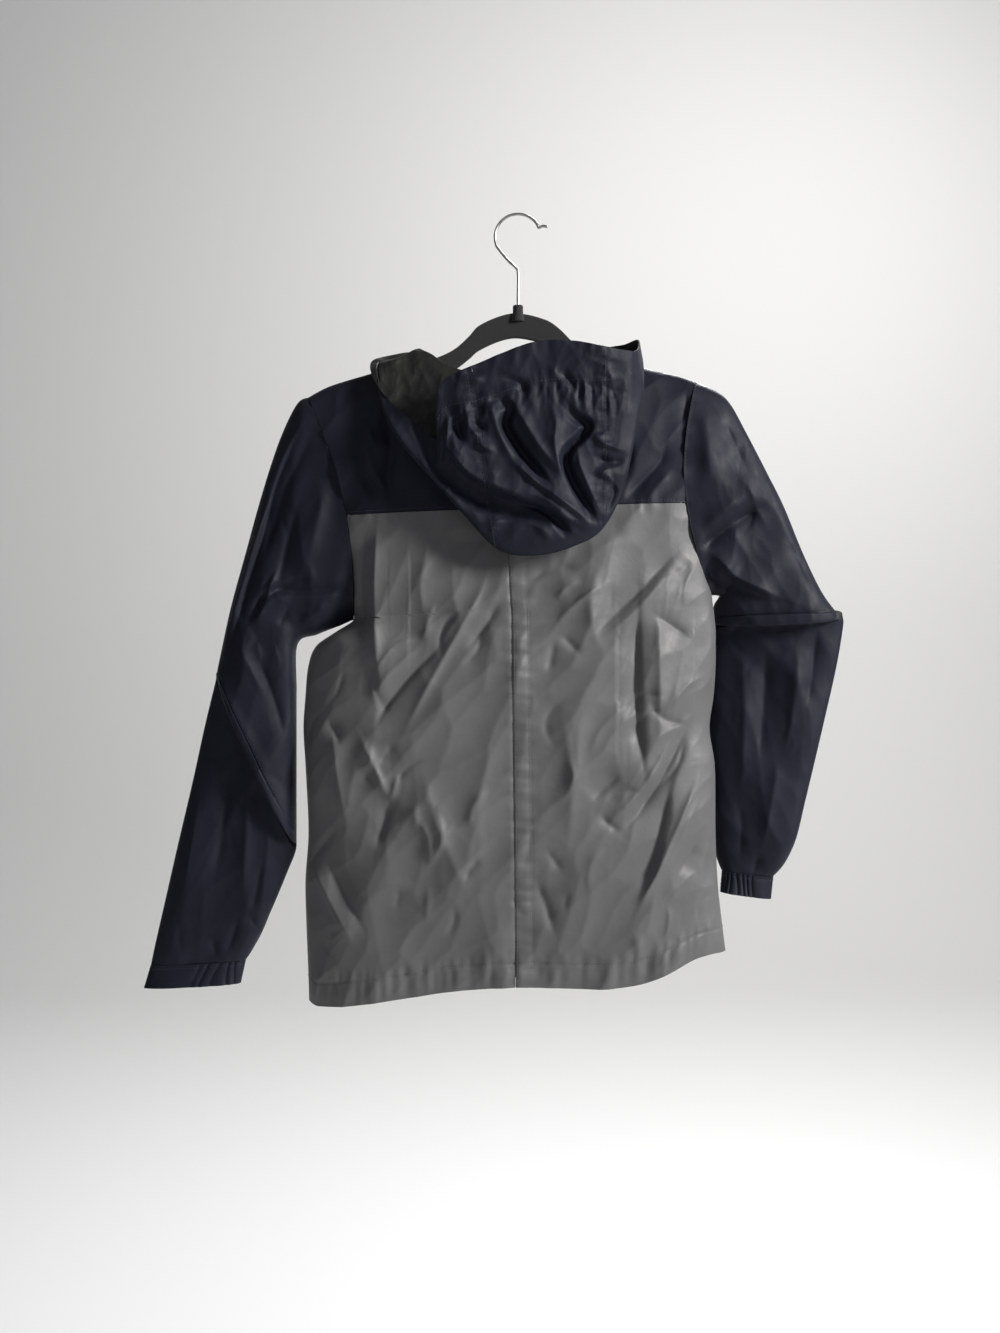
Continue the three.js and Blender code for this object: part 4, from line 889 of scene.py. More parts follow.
OVERHANG = {"left": (7, 10), "right": (8, 9)}  # the row that folds over the next, and how far it drops (mm)
OUTWARD = {"left": -1, "right": 1}  # which way round each sleeve's and cuff's grid runs
SLEEVE_CREASES = {
    "left": [
        ([(-205, -200), (-236, -262), (-252, -320), (-270, -380), (-283, -425), (-291, -450)], 6, -5, -0.5),
        ([(-205, -193), (-215, -213), (-232, -246), (-247, -292), (-263, -335), (-278, -386), (-291, -430),
          (-295, -465)], 4, 2.6, -0.3),
        ([(-198, -208), (-209, -233), (-225, -267), (-241, -312), (-257, -356)], 6, -3, 0),
        ([(-186, -258), (-196, -307), (-209, -356)], 12, 5, 0.1),
        ([(-215, -287), (-227, -332), (-239, -376)], 8, -4, 0),
        ([(-246, -378), (-259, -396), (-269, -415)], 5, -3, 0.2),
        ([(-224, -389), (-230, -399), (-236, -413)], 5, -2.5, 0),
        ([(-230, -367), (-217, -366), (-203, -365)], 4, -2.4, 0),
        ([(-247, -376), (-210, -376), (-164, -372)], 3.6, -3.8, 0, 2),
        ([(-186, -386), (-198, -398), (-215, -408)], 5, 2.4, 0),
        ([(-279, -425), (-263, -453), (-247, -485)], 7, 3, 0),
        ([(-236, -352), (-248, -384), (-256, -402), (-268, -410)], 3.4, 3.6, -0.5),
        ([(-216, -372), (-236, -374), (-252, -386), (-262, -404)], 3.6, -3.4, 0, 2),
        ([(-257, -440), (-243, -475), (-229, -524)], 7, -3.4, 0),
        ([(-267, -563), (-269, -623), (-272, -687)], 8, 3.4, 0),
        ([(-286, -544), (-292, -603), (-300, -662)], 9, -3.6, 0),
        ([(-316, -573), (-324, -633), (-334, -687)], 8, 3, 0),
        ([(-253, -642), (-259, -672), (-265, -697)], 5, -2.6, 0),
        ([(-304, -719), (-302, -729), (-299, -741)], 3.5, -2, 0),
        ([(-277, -700), (-283, -719), (-292, -739)], 4, -2.4, 0),
        ([(-267, -695), (-262, -706), (-255, -717)], 4, -2.2, 0),
        ([(-334, -702), (-336, -721), (-334, -739)], 4, -1.6, 0),
    ],
    "right": [
        ([(169, -343), (184, -332), (199, -319), (219, -305), (239, -295), (258, -289)], 8, -8, 0.3),
        ([(179, -317), (201, -299), (227, -282)], 8, 4, 0),
        ([(190, -339), (201, -351), (214, -363), (229, -371), (244, -378), (258, -384)], 8, 8, -0.7),
        ([(179, -346), (193, -364), (209, -376)], 6, -4, 0),
        ([(224, -258), (231, -287), (248, -317)], 9, 3, 0),
        ([(201, -198), (214, -233), (231, -267)], 9, -3, 0),
        ([(184, -189), (183, -228), (187, -267)], 9, 3, 0),
        ([(268, -327), (278, -346), (290, -371)], 6, -3, 0),
        ([(298, -406), (295, -435), (290, -475), (286, -496)], 5, -3.2, 0),
        ([(278, -425), (274, -485), (264, -544)], 9, 3.6, 0),
        ([(248, -425), (246, -485), (239, -554)], 9, -3.4, 0),
        ([(224, -435), (225, -504), (223, -573)], 8, 3, 0),
        ([(258, -544), (250, -593), (242, -633)], 7, 2.6, 0),
        ([(241, -637), (238, -646), (234, -658)], 4, -2, 0),
        ([(219, -583), (223, -613), (221, -644)], 5, -2, 0),
    ]}
SLEEVE_SCATTER = {
    "left": scattered_creases(26, (-300, -620), (100, 400), -75, 25, (20, 46), (3, 5), (1, 2.4)),
    "right": scattered_creases(26, (195, -600), (130, 400), -110, 26, (20, 46), (3, 5), (1, 2.4))}
print({side: rows.shape for side, rows in SLEEVE.items()})

# %% The cloth of a sleeve
SLEEVE_PITCH, FOLD_ROWS = 3.0, 56  # mm between rows, and the number of rows in the overhang


def round_ring(turn):
    """Share from the outer edge, facing, and how far a ring bulges there: 0 at its edges, 1 between."""
    flatness = np.sqrt(1 - np.abs(np.cos(turn)) ** SIDE_ROUND)
    return (1 - np.cos(turn)) / 2, np.where(np.sin(turn) >= 0, -1, 1), flatness


def sleeve_cloth(side, turn, v):
    """Points (mm) of a sleeve: turn 0 at the outer edge, pi at the inner one, the back first."""
    v = v + np.maximum(0, 1 - 2 * v) * 0.03
    ox, oy, oz, ix, iy, iz, back, front, bow = np.moveaxis(along(SLEEVE[side], v), -1, 0)
    share, facing, flatness = round_ring(turn)
    x = mix(ox, ix, share) + np.where(v < 3, bow * bow_at(share), 0)
    z = mix(oz, iz, share)
    row, drop = OVERHANG[side]
    step = np.clip(v - row, 0, 1)
    held = ease((step - 0.08) / 0.84)
    before, after = SLEEVE[side][row, 6] + 3, SLEEVE[side][row + 1, 6] - 5
    back = np.where((v > row) & (v < row + 1), mix(before, after, held), back)
    half = np.where(facing < 0, back, front) * flatness
    y = mix(oy, iy, share) + facing * half
    joined = np.clip(1 - v / 2, 0, 1)
    first = SLEEVE[side][0]
    seam_x = mix(first[0], first[3], share) + first[8] * bow_at(share)
    seam_y, _ = body_y(seam_x, mix(first[2], first[5], share), facing)
    y = np.where(joined > 0, mix(y, seam_y, joined), y)
    over = np.where(facing < 0, np.abs(np.sin(turn)) ** 0.6, 0)
    z = z - drop * np.sin(2 * np.pi * step) * over
    lean = 20 if side == "left" else -20
    lift = 3.2 * crumple(x, z, 46, 120, 31.3 if side == "left" else 37.9, lean)
    lift += 0.8 * crumple(x, z, 20, 48, 41.7, lean)
    lift += 0.6 * crease_lift(x, z, SLEEVE_SCATTER[side])
    lift = np.where(facing < 0, lift + 1.2 * crease_lift(x, z, SLEEVE_CREASES[side]), 0.8 * lift)
    start = np.clip(v, 0, 0.2) * 5
    lift = lift * ease(v / 1.2) + pucker(v * 30, z, 10, 8, 0.7, 3.1) - 0.6 * ease(1 - v * 4) * start
    y = y + facing * lift * np.clip(half / 12, 0, 1)
    return np.stack([x, y, z], -1)


def spaced_rows(table, pitch, extra=()):
    """Rows spaced about `pitch` mm apart along the edges of a table of rings."""
    parts = [np.zeros(1)]
    for k in range(len(table) - 1):
        step = max(np.hypot(*(table[k + 1, [a, b]] - table[k, [a, b]])) for a, b in ((0, 2), (3, 5)))
        count = max(3, math.ceil(step / pitch), *[n for row, n in extra if row == k])
        parts.append(k + np.linspace(0, 1, count + 1)[1:])
    return np.concatenate(parts)


for side in ("left", "right"):
    turns = np.concatenate([np.linspace(0, np.pi, 92)[:-1], np.linspace(np.pi, 2 * np.pi, 58)[:-1]])
    turn, v = np.meshgrid(turns, spaced_rows(SLEEVE[side], SLEEVE_PITCH, [(OVERHANG[side][0], FOLD_ROWS)]))
    piece = cloth_wall(f"sleeve_cloth_{side}", sleeve_cloth(side, turn, v), CLOTH, OUTWARD[side], True)
    settle(piece, f"sleeve_{side}", NAVY)

# %% Cuffs
CUFF = {  # lower ring: outer x, z, inner x, z, y, back, front, gathers, share where they start
    "left": (-374, -772, -277, -767, 0, 12, 10, 12, 0.45),
    "right": (254, -684, 203, -677, 6, 11, 10, 12, 0.35)}


def cuff_cloth(side, turn, v):
    ox, oy, oz, ix, iy, iz, back, front, _ = SLEEVE[side][-1]
    fox, foz, fix, fiz, fy, fback, ffront, gathers, start = CUFF[side]
    share, facing, flatness = round_ring(turn)
    half = np.where(facing < 0, mix(back, fback, v), mix(front, ffront, v)) * flatness
    gathered = np.clip((share - start) / 0.12, 0, 1) * np.clip(flatness * 2, 0, 1)
    wander = turn + 0.10 * np.sin(3.1 * turn + 2 * v) + 0.05 * np.sin(7.7 * turn)
    ripple = 1.5 * np.abs(np.sin(wander * gathers)) ** 0.7 - 0.9
    plain = 0.5 * np.sin(wander * 5 + 3 * v)
    gather = gathered * (ripple - 1.3 * np.sin(np.pi * v)) + (1 - gathered) * plain * flatness
    gather += stitched_groove((v - 0.16) * 24, 1.3, 0.5) * flatness
    x = mix(mix(ox, fox, v), mix(ix, fix, v), share)
    z = mix(mix(oz, foz, v), mix(iz, fiz, v), share)
    y = mix(mix(oy, fy, v), mix(iy, fy, v), share) + facing * (half + gather)
    return np.stack([x, y, z], -1)


for side, flat in (("left", (0.22, 0.03)), ("right", (0.13, 0.03))):
    turn, v = np.meshgrid(np.linspace(0, 2 * np.pi, 330)[:-1], np.linspace(0.02, 1, 15))
    piece = cloth_wall(f"cuff_cloth_{side}", cuff_cloth(side, turn, v), CASING, OUTWARD[side], True)
    settle(piece, f"cuff_{side}", NAVY)

# %% [markdown]
# ## The hood
# A hood is two shaped sides and a long centre strip, joined to the neckline. Hung open, it falls down the
# back as a pouch: from the neck seam the cloth rolls over and runs down, folds at the bottom, and comes up
# again to the face edge. So it is drawn as 23 sections round the neckline, each a line through nine points
# from the seam to the face edge. The outer layer carries the creases, and its face edge is a stitched casing
# that ruffles.

# %% Sections of the hood: neck x, facing, rise, fold radius, then the fold's and the face edge's place
HOOD = np.array([
    (-13.5, 1, 6, 2, -16, 20, -192, -18, 19, -165), (-46, 1, 6, 2, -54, 24, -178, -62, 22, -150),
    (-75, 1, 6, 2, -89, 24, -164, -99, 18, -134), (-91, 1, 6, 2, -115, 16, -149, -125, 10, -137),
    (-98, -1, 8, 1, -136, 0, -147, -147, -4, -149), (-94, -1, 8, 2, -138, -20, -166, -136, -34, -180),
    (-86, -1, 8, 5, -130, -38, -205, -112, -51, -206), (-76, -1, 8, 6, -110, -52, -240, -87, -60, -228),
    (-66, -1, 8, 6, -86, -58, -268, -77, -66, -232), (-56, -1, 8, 6, -70, -60, -286, -80, -70, -203),
    (-45, -1, 8, 6, -50, -61, -309, -72, -72, -179), (-32, -1, 8, 6, -18, -61, -340, -45, -74, -165),
    (-8, -1, 8, 6, 20, -61, -344, 12, -75, -143), (20, -1, 8, 6, 54, -60, -335, 50, -75, -141),
    (40, -1, 8, 6, 80, -58, -319, 78, -73, -146), (54, -1, 8, 6, 100, -55, -280, 104, -66, -149),
    (66, -1, 8, 6, 113, -46, -220, 113, -54, -147), (74, -1, 8, 5, 121, -28, -178, 118, -36, -139),
    (78, -1, 8, 2, 118, -3, -142, 119, -12, -127), (72, 1, 6, 2, 100, 16, -143, 108, 8, -127),
    (56, 1, 6, 2, 72, 24, -158, 82, 20, -130), (28, 1, 6, 2, 36, 25, -180, 44, 23, -146),
    (-4.5, 1, 6, 2, -2, 20, -192, 0, 19, -165)], float)
HOOD_ROUND = 140, 30  # mm, half axes of the ellipse whose normals its folds turn along
HOOD_CLEAR = 2.5  # mm, least gap to the cloth below
HOOD_SEAMS = 11, 14  # sections where the sides meet the centre strip
HOOD_GAP = 0.004  # of a section, between the sides and the strip
BACK_FROM, BACK_TO = 4, 18  # the sections between these hang down the back


def neck_point(u):
    x = neck_x(u)
    facing = np.where((np.asarray(u) < BACK_FROM) | (np.asarray(u) > BACK_TO), 1, -1)
    z = np.where(facing < 0, read(NECK_BACK, x), read(NECK_FRONT, x))
    return np.stack([x, body_y(x, z, facing)[0], z + SEAM], -1)


def clear_of(x, z, facing):
    """The least depth at which the hood lies clear of the cloth below it."""
    neck = NECK_BACK if facing < 0 else NECK_FRONT
    drop = float(read(SHOULDERS, x)) + 2 * HOOD_CLEAR - z
    if drop <= 0 or (neck[0, 0] < x < neck[-1, 0] and z > float(read(neck, x)) + 1):
        return 0
    roll = math.sqrt(2 * ROLL[-1] * drop) if facing < 0 else 0
    return max(roll, facing * float(body_y(x, z, facing)[0])) + HOOD_CLEAR


def hood_section(row, u):
    facing, rise, fold, c, f = row[1], row[2], row[3], row[4:7], row[7:10]
    seam = neck_point(float(u))

    def off(p):
        least = clear_of(p[0], p[2], facing)
        if least > 0:
            p[1] = facing * max(facing * p[1], least)
        return p

    out = np.array([c[0] / HOOD_ROUND[0] ** 2, c[1] / HOOD_ROUND[1] ** 2, 0])
    out *= fold / np.linalg.norm(out)
    bottom = off(c.copy()) + out
    down = [off(mix(seam, c, t) + [0, 0, lift]) for t, lift in ((0.2, rise * 0.8), (0.55, 0), (0.92, 0))]
    return [seam, seam + [0, 0, rise], *down, bottom, *[mix(bottom + out, f, t) for t in (0.12, 0.5, 1)]]


hood_grid = np.array([hood_section(row, u) for u, row in enumerate(HOOD)])
print("hood grid", hood_grid.shape, "lowest", round(hood_grid[..., 2].min(), 1))

# %% The cloth of the hood
HOOD_CREASES = [
    ([(-24, -196), (-9, -205), (-12, -221), (0, -242), (15, -262), (29, -281)], 4.0, -11, 0.1, 3),
    ([(-7, -196), (5, -219), (21, -245), (41, -268)], 5.2, 6.5, -0.3),
    ([(-30, -192), (-24, -214), (-16, -236), (-4, -258)], 4.6, 4.5, 0.3),
    ([(40, -196), (52, -212), (66, -221), (60, -232), (49, -243), (45, -256), (53, -277), (65, -298),
      (74, -318)], 3.6, -10, 0.1, 3),
    ([(28, -198), (35, -217), (34, -243), (42, -276)], 6.0, 5.5, 0.2),
    ([(56, -240), (57, -256), (66, -280), (78, -304)], 5.0, 4.5, -0.2),
    ([(-12, -250), (11, -272), (39, -293), (74, -319)], 3.4, 5.5, -0.6),
    ([(68, -231), (85, -241), (105, -246)], 3.4, 5.0, -0.5),
    ([(71, -252), (87, -256), (103, -252)], 3.2, -4.5, 0.1, 2),
    ([(70, -266), (86, -272), (98, -284)], 3.0, 3.6, -0.5),
    ([(-1, -290), (30, -304), (50, -330)], 3.8, -7.5, 0.1, 3),
    ([(-12, -312), (14, -316), (34, -334)], 4.6, 4.0, -0.4),
    ([(-18, -176), (0, -181), (8, -194)], 2.8, -4, 0, 2),
    ([(38, -170), (50, -180), (52, -194)], 2.8, -4, 0, 2),
    ([(87, -264), (91, -283), (83, -307)], 4.8, -4.5, 0),
    ([(-54, -190), (-48, -217), (-31, -247)], 6.4, 4.5, 0),
    ([(-66, -200), (-60, -222), (-50, -243)], 3.6, -4.5, 0, 2),
    ([(-48, -214), (-36, -226), (-24, -228)], 3.2, -3.6, 0, 2),
    ([(-44, -236), (-32, -244), (-20, -250)], 3.2, 3.6, -0.4),
    ([(-83, -222), (-64, -249), (-46, -269), (-18, -283), (20, -297), (49, -312), (74, -321)], 13, 12, -0.88),
    ([(-93, -236), (-74, -262), (-54, -282), (-26, -297), (12, -309), (40, -324)], 8.5, -8.5, 0, 2),
    ([(-50, -300), (-10, -292), (20, -306)], 7, -3, 0),
    ([(-60, -205), (-66, -230), (-52, -255)], 6, 3, 0.3),
]
FACE_HEM = 40  # mm from the face edge to its stitches


def hood_plain(u, v):
    rows_u, weights_u = curve_weights(u, len(hood_grid))
    rows_v, weights_v = curve_weights(v, hood_grid.shape[1])
    p = sum((wu * wv)[..., None] * hood_grid[i, j]
            for i, wu in zip(rows_u, weights_u) for j, wv in zip(rows_v, weights_v))
    drawn = sum(wu[..., None] * hood_grid[i, 0] for i, wu in zip(rows_u, weights_u))
    return p + np.clip(1 - v / 1.5, 0, 1)[..., None] * (neck_point(u) - drawn)


def hood_cloth(u, v):
    """Points (mm) of the creased hood; u counts sections, v the points of a section."""
    p = hood_plain(u, v)
    x, z = p[..., 0], p[..., 2]
    outer = ease((v - 5.2) / 0.8)
    lift = crease_lift(x, z, HOOD_CREASES)
    lift += 2.0 * crumple(x, z, 36, 60, 51.3, 15) + 0.9 * crumple(x, z, 15, 26, 57.1)
    edge = np.linalg.norm(hood_plain(u, np.full(u.shape, 8.0)) - p, axis=-1)
    for seam, side in zip(HOOD_SEAMS, (-1, 1)):
        offset = np.linalg.norm(hood_plain(np.full(u.shape, float(seam)), v) - p, axis=-1) * np.sign(u - seam)
        lift += pucker(offset, z, 9, 7, 1.1, seam) + stitched_groove(offset - 5 * side, 1.3, 0.2)
        lift += 1.5 * crumple(offset, z, 24, 8, 81.3 + seam) * np.exp(-(offset / 13) ** 2)
    casing = edge - FACE_HEM
    centre = ease(15.5 - u) * ease(u - 8.5)
    lift += centre * (pucker(casing - 8, x, 13, 6, 1.2, 8.8) + stitched_groove(casing, 1.3, 0.9))
    gathers = centre * hill(casing - 4, 30)
    lift += pucker(edge - 4, x, 9, 8, 0.6, 7.7) + gathers * 1.7 * crumple(x, casing, 8.5, 17, 71.3)
    loose = 1 + 4 * ease((9 - u) / 1.5)  # the flap at the left lies freest
    folds = 0.5 + 0.5 * crumple(x, z, 24, 34, 61.7) + 0.25 * crumple(x, z, 11, 15, 67.9)
    under = loose * folds * ease((v - 1.2) / 0.8) * ease((4.8 - v) / 0.8)
    p[..., 1] -= lift * outer + np.where((u >= BACK_FROM) & (u <= BACK_TO), under, 0)
    return p


HOOD_ROWS = rows_between(*((k, k + 1, count) for k, count in enumerate((5, 8, 24, 26, 12, 18, 46, 54))))
SEAM_LEFT, SEAM_RIGHT = HOOD_SEAMS
HOOD_PIECES = {  # columns between stops of u, and the flat cut in metres
    "hood_side_left": (
        ((0, BACK_FROM, 44), (BACK_FROM, 6, 34), (6, SEAM_LEFT - HOOD_GAP, 136)), (0.17, 0.26)),
    "hood_centre": (((SEAM_LEFT + HOOD_GAP, SEAM_RIGHT - HOOD_GAP, 96),), (0.12, 0.42)),
    "hood_side_right": (((SEAM_RIGHT + HOOD_GAP, BACK_TO, 108), (BACK_TO, 22, 44)), (0.15, 0.24))}
for name, (columns, flat) in HOOD_PIECES.items():
    u, v = np.meshgrid(rows_between(*columns), HOOD_ROWS)
    piece = cloth_wall(name + "_cloth", hood_cloth(u, v), np.where(v > 7.2, 1.2, CLOTH))
    settle(piece, name, NAVY)

# %% [markdown]
# ## The zip
# An open-ended zip of moulded teeth closes the front. Each tape is woven, is sewn under a front edge, and has
# a row of teeth clamped to it, which mesh with the other row's half a pitch away. One tooth is drawn once
# and repeated along the centre line by a node group, so the pitch can be changed in one place.

# %% Repeating a shape along a path with Geometry Nodes
REPEAT_INPUTS = {
    "Path": "Geometry", "Shape": "Object", "Spacing": "Float", "Smallest": "Float", "Material": "Material"}
SIZE_SEED = 4


def socket_of(group, name):
    sockets = (item for item in group.interface.items_tree if item.in_out == "INPUT")
    return next(item.identifier for item in sockets if item.name == name)


def along_path_group():
    """Sets copies of the shape along the path, whose points carry a "facing" vector."""
    group = bpy.data.node_groups.new("repeat_along_path", "GeometryNodeTree")
    for name, kind in REPEAT_INPUTS.items():
        group.interface.new_socket(name, in_out="INPUT", socket_type="NodeSocket" + kind)
    group.interface.new_socket("Pieces", in_out="OUTPUT", socket_type="NodeSocketGeometry")
    nodes, link = group.nodes, group.links.new
    given, made = nodes.new("NodeGroupInput"), nodes.new("NodeGroupOutput")
    curve = nodes.new("GeometryNodeMeshToCurve")
    spaced = nodes.new("GeometryNodeResampleCurve")
    spaced.mode = "LENGTH"
    tangent = nodes.new("GeometryNodeInputTangent")
    facing = nodes.new("GeometryNodeInputNamedAttribute")
    facing.data_type = "FLOAT_VECTOR"
    facing.inputs["Name"].default_value = "facing"
    run = nodes.new("FunctionNodeAlignRotationToVector")
    run.axis = "X"
    stand = nodes.new("FunctionNodeAlignRotationToVector")
    stand.axis, stand.pivot_axis = "Z", "X"
    shape = nodes.new("GeometryNodeObjectInfo")
    size = nodes.new("FunctionNodeRandomValue")
    size.inputs["Seed"].default_value = SIZE_SEED
    spread = nodes.new("GeometryNodeInstanceOnPoints")
    real = nodes.new("GeometryNodeRealizeInstances")
    finish = nodes.new("GeometryNodeSetMaterial")
    for start, output, end, socket in (
            (given, "Path", curve, "Mesh"), (curve, "Curve", spaced, "Curve"),
            (given, "Spacing", spaced, "Length"), (tangent, "Tangent", run, "Vector"),
            (run, "Rotation", stand, "Rotation"),
            (facing, "Attribute", stand, "Vector"), (given, "Shape", shape, "Object"),
            (given, "Smallest", size, 2), (spaced, "Curve", spread, "Points"),
            (shape, "Geometry", spread, "Instance"), (stand, "Rotation", spread, "Rotation"),
            (size, 1, spread, "Scale"), (spread, "Instances", real, "Geometry"),
            (real, "Geometry", finish, "Geometry"), (given, "Material", finish, "Material"),
            (finish, "Geometry", made, "Pieces")):
        link(start.outputs[output], end.inputs[socket])
    return group


REPEAT = along_path_group()


def repeated(name, paths, shape, spacing, material, smallest=0.94):
    """One mesh of `shape` along several paths; each path is (points, facings), in metres."""
    points, edges, facings = [], [], []
    for line, normals in paths:
        edges += [(len(points) + k, len(points) + k + 1) for k in range(len(line) - 1)]
        points += [tuple(p) for p in line]
        facings += [tuple(n) for n in normals]
    mesh = bpy.data.meshes.new(name + "_path")
    mesh.from_pydata(points, edges, [])
    mesh.attributes.new("facing", "FLOAT_VECTOR", "POINT").data.foreach_set("vector", np.ravel(facings))
    path = new_object(name + "_path", mesh)
    repeat = path.modifiers.new("repeat", "NODES")
    repeat.node_group = REPEAT
    values = {"Shape": shape, "Spacing": spacing, "Smallest": smallest, "Material": material}
    for socket, value in values.items():
        repeat[socket_of(REPEAT, socket)] = value
    bpy.context.view_layer.update()
    depsgraph = bpy.context.evaluated_depsgraph_get()
    made = bpy.data.meshes.new_from_object(path.evaluated_get(depsgraph))
    made.name = name
    bpy.data.objects.remove(path)
    if not made.materials:
        made.materials.append(material)
    made.shade_smooth()
    piece = new_object(name, made)
    print(f"{name}: {len(made.polygons)} faces")
    return piece


# %% Zip tapes
ZIP = {"tape": 15, "thick": 0.7, "pitch": 2.6}  # mm
TAPE_DEPTH, FOOT_DEPTH = 1.2, 0.9  # mm, the tape below the cloth's surface, and how much more at its foot


def front_line(offset, v):
    """Points (mm) on the centre front, with the direction that they face."""
    v = np.asarray(v, float)

    def place(o, at):
        return body_cloth(centre_turn(1, at, o), at)

    points = place(offset, v)
    down = place(offset, np.minimum(v + 0.01, 4)) - place(offset, np.maximum(v - 0.01, 0))
    across = place(offset + 0.5, v) - place(offset - 0.5, v)
    facing = np.cross(across, down)
    return points, facing / np.linalg.norm(facing, axis=-1, keepdims=True)


ZIP_ROWS = rows_between((0.02, 1, 26), (1, 2, 60), (2, 3, 120), (3, 3.98, 10))
for side, (inner, outer) in (("left", (-ZIP["tape"], -SEAM / 2)), ("right", (SEAM / 2, ZIP["tape"]))):
    offsets = np.linspace(inner, outer, 9)
    lines = [front_line(o, ZIP_ROWS) for o in offsets]
    depth = (TAPE_DEPTH + FOOT_DEPTH * ease((ZIP_ROWS - 2.9) / 0.08))[:, None]
    tape = np.stack([points - facing * depth for points, facing in lines], 1)
    piece = cloth_wall(f"zip_ribbon_{side}", tape, ZIP["thick"])
    for _ in range(2):
        piece.data.materials.append(TAPE)
    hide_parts(f"zip_tape_{side}")
    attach(piece, "root")
    print(piece.name, "area", round(half_area(piece), 4))

# %% Zip teeth
def small_shape(name, points, faces, material):
    shape = new_object(name, new_mesh(name, points, faces, smooth=False))
    shape.data.materials.append(material)
    return shape


def tooth(side):
    """A moulded tooth: x along the zip, y across it, z outwards; a block on the tape and a rounded head."""
    outline = [(-3.0, 0.62), (-1.0, 0.72), (-0.2, 0.5), (0.55, 0.8), (0.95, 0.45)]  # y, half length
    points, rings = [], []
    for z, inset in ((-0.8, 0.0), (0.75, 0.0), (1.05, 0.22)):
        ring = [(half - inset, y) for y, half in outline] + [(-half + inset, y) for y, half in outline[::-1]]
        rings.append(range(len(points), len(points) + len(ring)))
        points += [(x * MM, side * y * MM, z * MM) for x, y in ring]
    faces = [tuple(rings[-1]), tuple(rings[0])[::-1]]
    count = len(rings[0])
    for low, high in zip(rings[:-1], rings[1:]):
        faces += [(low[k], low[(k + 1) % count], high[(k + 1) % count], high[k]) for k in range(count)]
    if side > 0:
        faces = [face[::-1] for face in faces]
    return small_shape("tooth", points, faces, TOOTH)


TEETH_DEPTH = 0.35  # mm below the cloth's surface
points, facing = front_line(0, np.linspace(0.05, 3.96, 420))
points = (points - facing * TEETH_DEPTH) * MM
half_pitch = ZIP["pitch"] / 2 * MM
shapes = {side: tooth(side) for side in (-1, 1)}
shifted = points + (points[1] - points[0]) / np.linalg.norm(points[1] - points[0]) * half_pitch
rows_of_teeth = []
for side, line in ((-1, points), (1, shifted)):
    path = [(line, facing)]
    rows_of_teeth.append(repeated(f"teeth_{side}", path, shapes[side], ZIP["pitch"] * MM, TOOTH, 1.0))


def joined(name, pieces):
    """Several plain meshes as one new object."""
    whole = bmesh.new()
    materials = []
    for piece in pieces:
        slots = []
        for material in piece.data.materials:
            if material not in materials:
                materials.append(material)
            slots.append(materials.index(material))
        start = len(whole.faces)
        whole.from_mesh(piece.data)
        whole.faces.ensure_lookup_table()
        for face in whole.faces[start:]:
            face.material_index = slots[min(face.material_index, len(slots) - 1)]
    mesh = bpy.data.meshes.new(name)
    whole.to_mesh(mesh)
    whole.free()
    for material in materials:
        mesh.materials.append(material)
    for piece in pieces:
        bpy.data.objects.remove(piece)
    return new_object(name, mesh)


teeth = joined("moulded_teeth", rows_of_teeth)
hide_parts("zip_teeth")
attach(teeth, "root")
for shape in shapes.values():
    bpy.data.objects.remove(shape)
print("teeth", len(teeth.data.polygons), "faces")

# %% Slider and pull tab: the frame's own forms, with rounded edges
MERGE = 0.02  # mm
SAME_FACE, SHARP_EDGE, SHADING_EDGE = map(math.radians, (4, 35, 50))


def rounded_copy(node, name, width, material, body):
    """A merged copy of a hard CAD node with bevelled edges."""
    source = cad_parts[node]
    work = bmesh.new()
    work.from_mesh(source.data)
    work.transform(source.matrix_world)
    bmesh.ops.remove_doubles(work, verts=work.verts, dist=MERGE * MM)
    bmesh.ops.dissolve_limit(work, angle_limit=SAME_FACE, verts=work.verts, edges=work.edges)
    sharp = [e for e in work.edges if e.is_manifold and e.calc_face_angle() > SHARP_EDGE]
    bmesh.ops.bevel(work, geom=sharp, offset=width * MM, segments=2, affect="EDGES", profile=0.5,
                    clamp_overlap=True)
    mesh = bpy.data.meshes.new(name)
    work.to_mesh(mesh)
    work.free()
    mesh.materials.append(material)
    mesh.shade_smooth()
    piece = new_object(name, mesh)
    piece.data.set_sharp_from_angle(angle=SHADING_EDGE)
    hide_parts(node)
    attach(piece, body)
    print(f"{name}: {len(mesh.polygons)} faces")
    return piece


rounded_copy("zip_slider", "cast_slider", 0.3, GUNMETAL, "root")
rounded_copy("pull_tab", "cast_tab", 0.3, GUNMETAL, "zip_pull")

# %% [markdown]
# ## Hanger and hook
# A slim hanger is moulded plastic covered in short flock, so cloth grips it and it shines nowhere. Its arms
# have a shallow recess along each face, which saves plastic and shows as two soft rims. The hook is steel
# wire, bent round a former and pushed into the neck, so it keeps one thickness and has a small rounded tip.

# %% A closed skin over rings
def ringed(name, rings, material):
    """A closed smooth mesh over rings (count, around, 3) in mm, with its two ends filled."""
    rings = np.asarray(rings, float)
    count, around = rings.shape[:2]
    index = np.arange(count * around).reshape(count, around)
    following = np.roll(index, -1, 1)
    quads = np.stack([index[:-1], following[:-1], following[1:], index[1:]], -1).reshape(-1, 4)
    faces = [tuple(q) for q in quads] + [tuple(index[0][::-1]), tuple(index[-1])]
    mesh = new_mesh(name, rings.reshape(-1, 3) * MM, faces)
    work = bmesh.new()
    work.from_mesh(mesh)
    bmesh.ops.recalc_face_normals(work, faces=work.faces)
    work.to_mesh(mesh)
    work.free()
    mesh.materials.append(material)
    mesh.set_sharp_from_angle(angle=math.radians(60))
    return new_object(name, mesh)


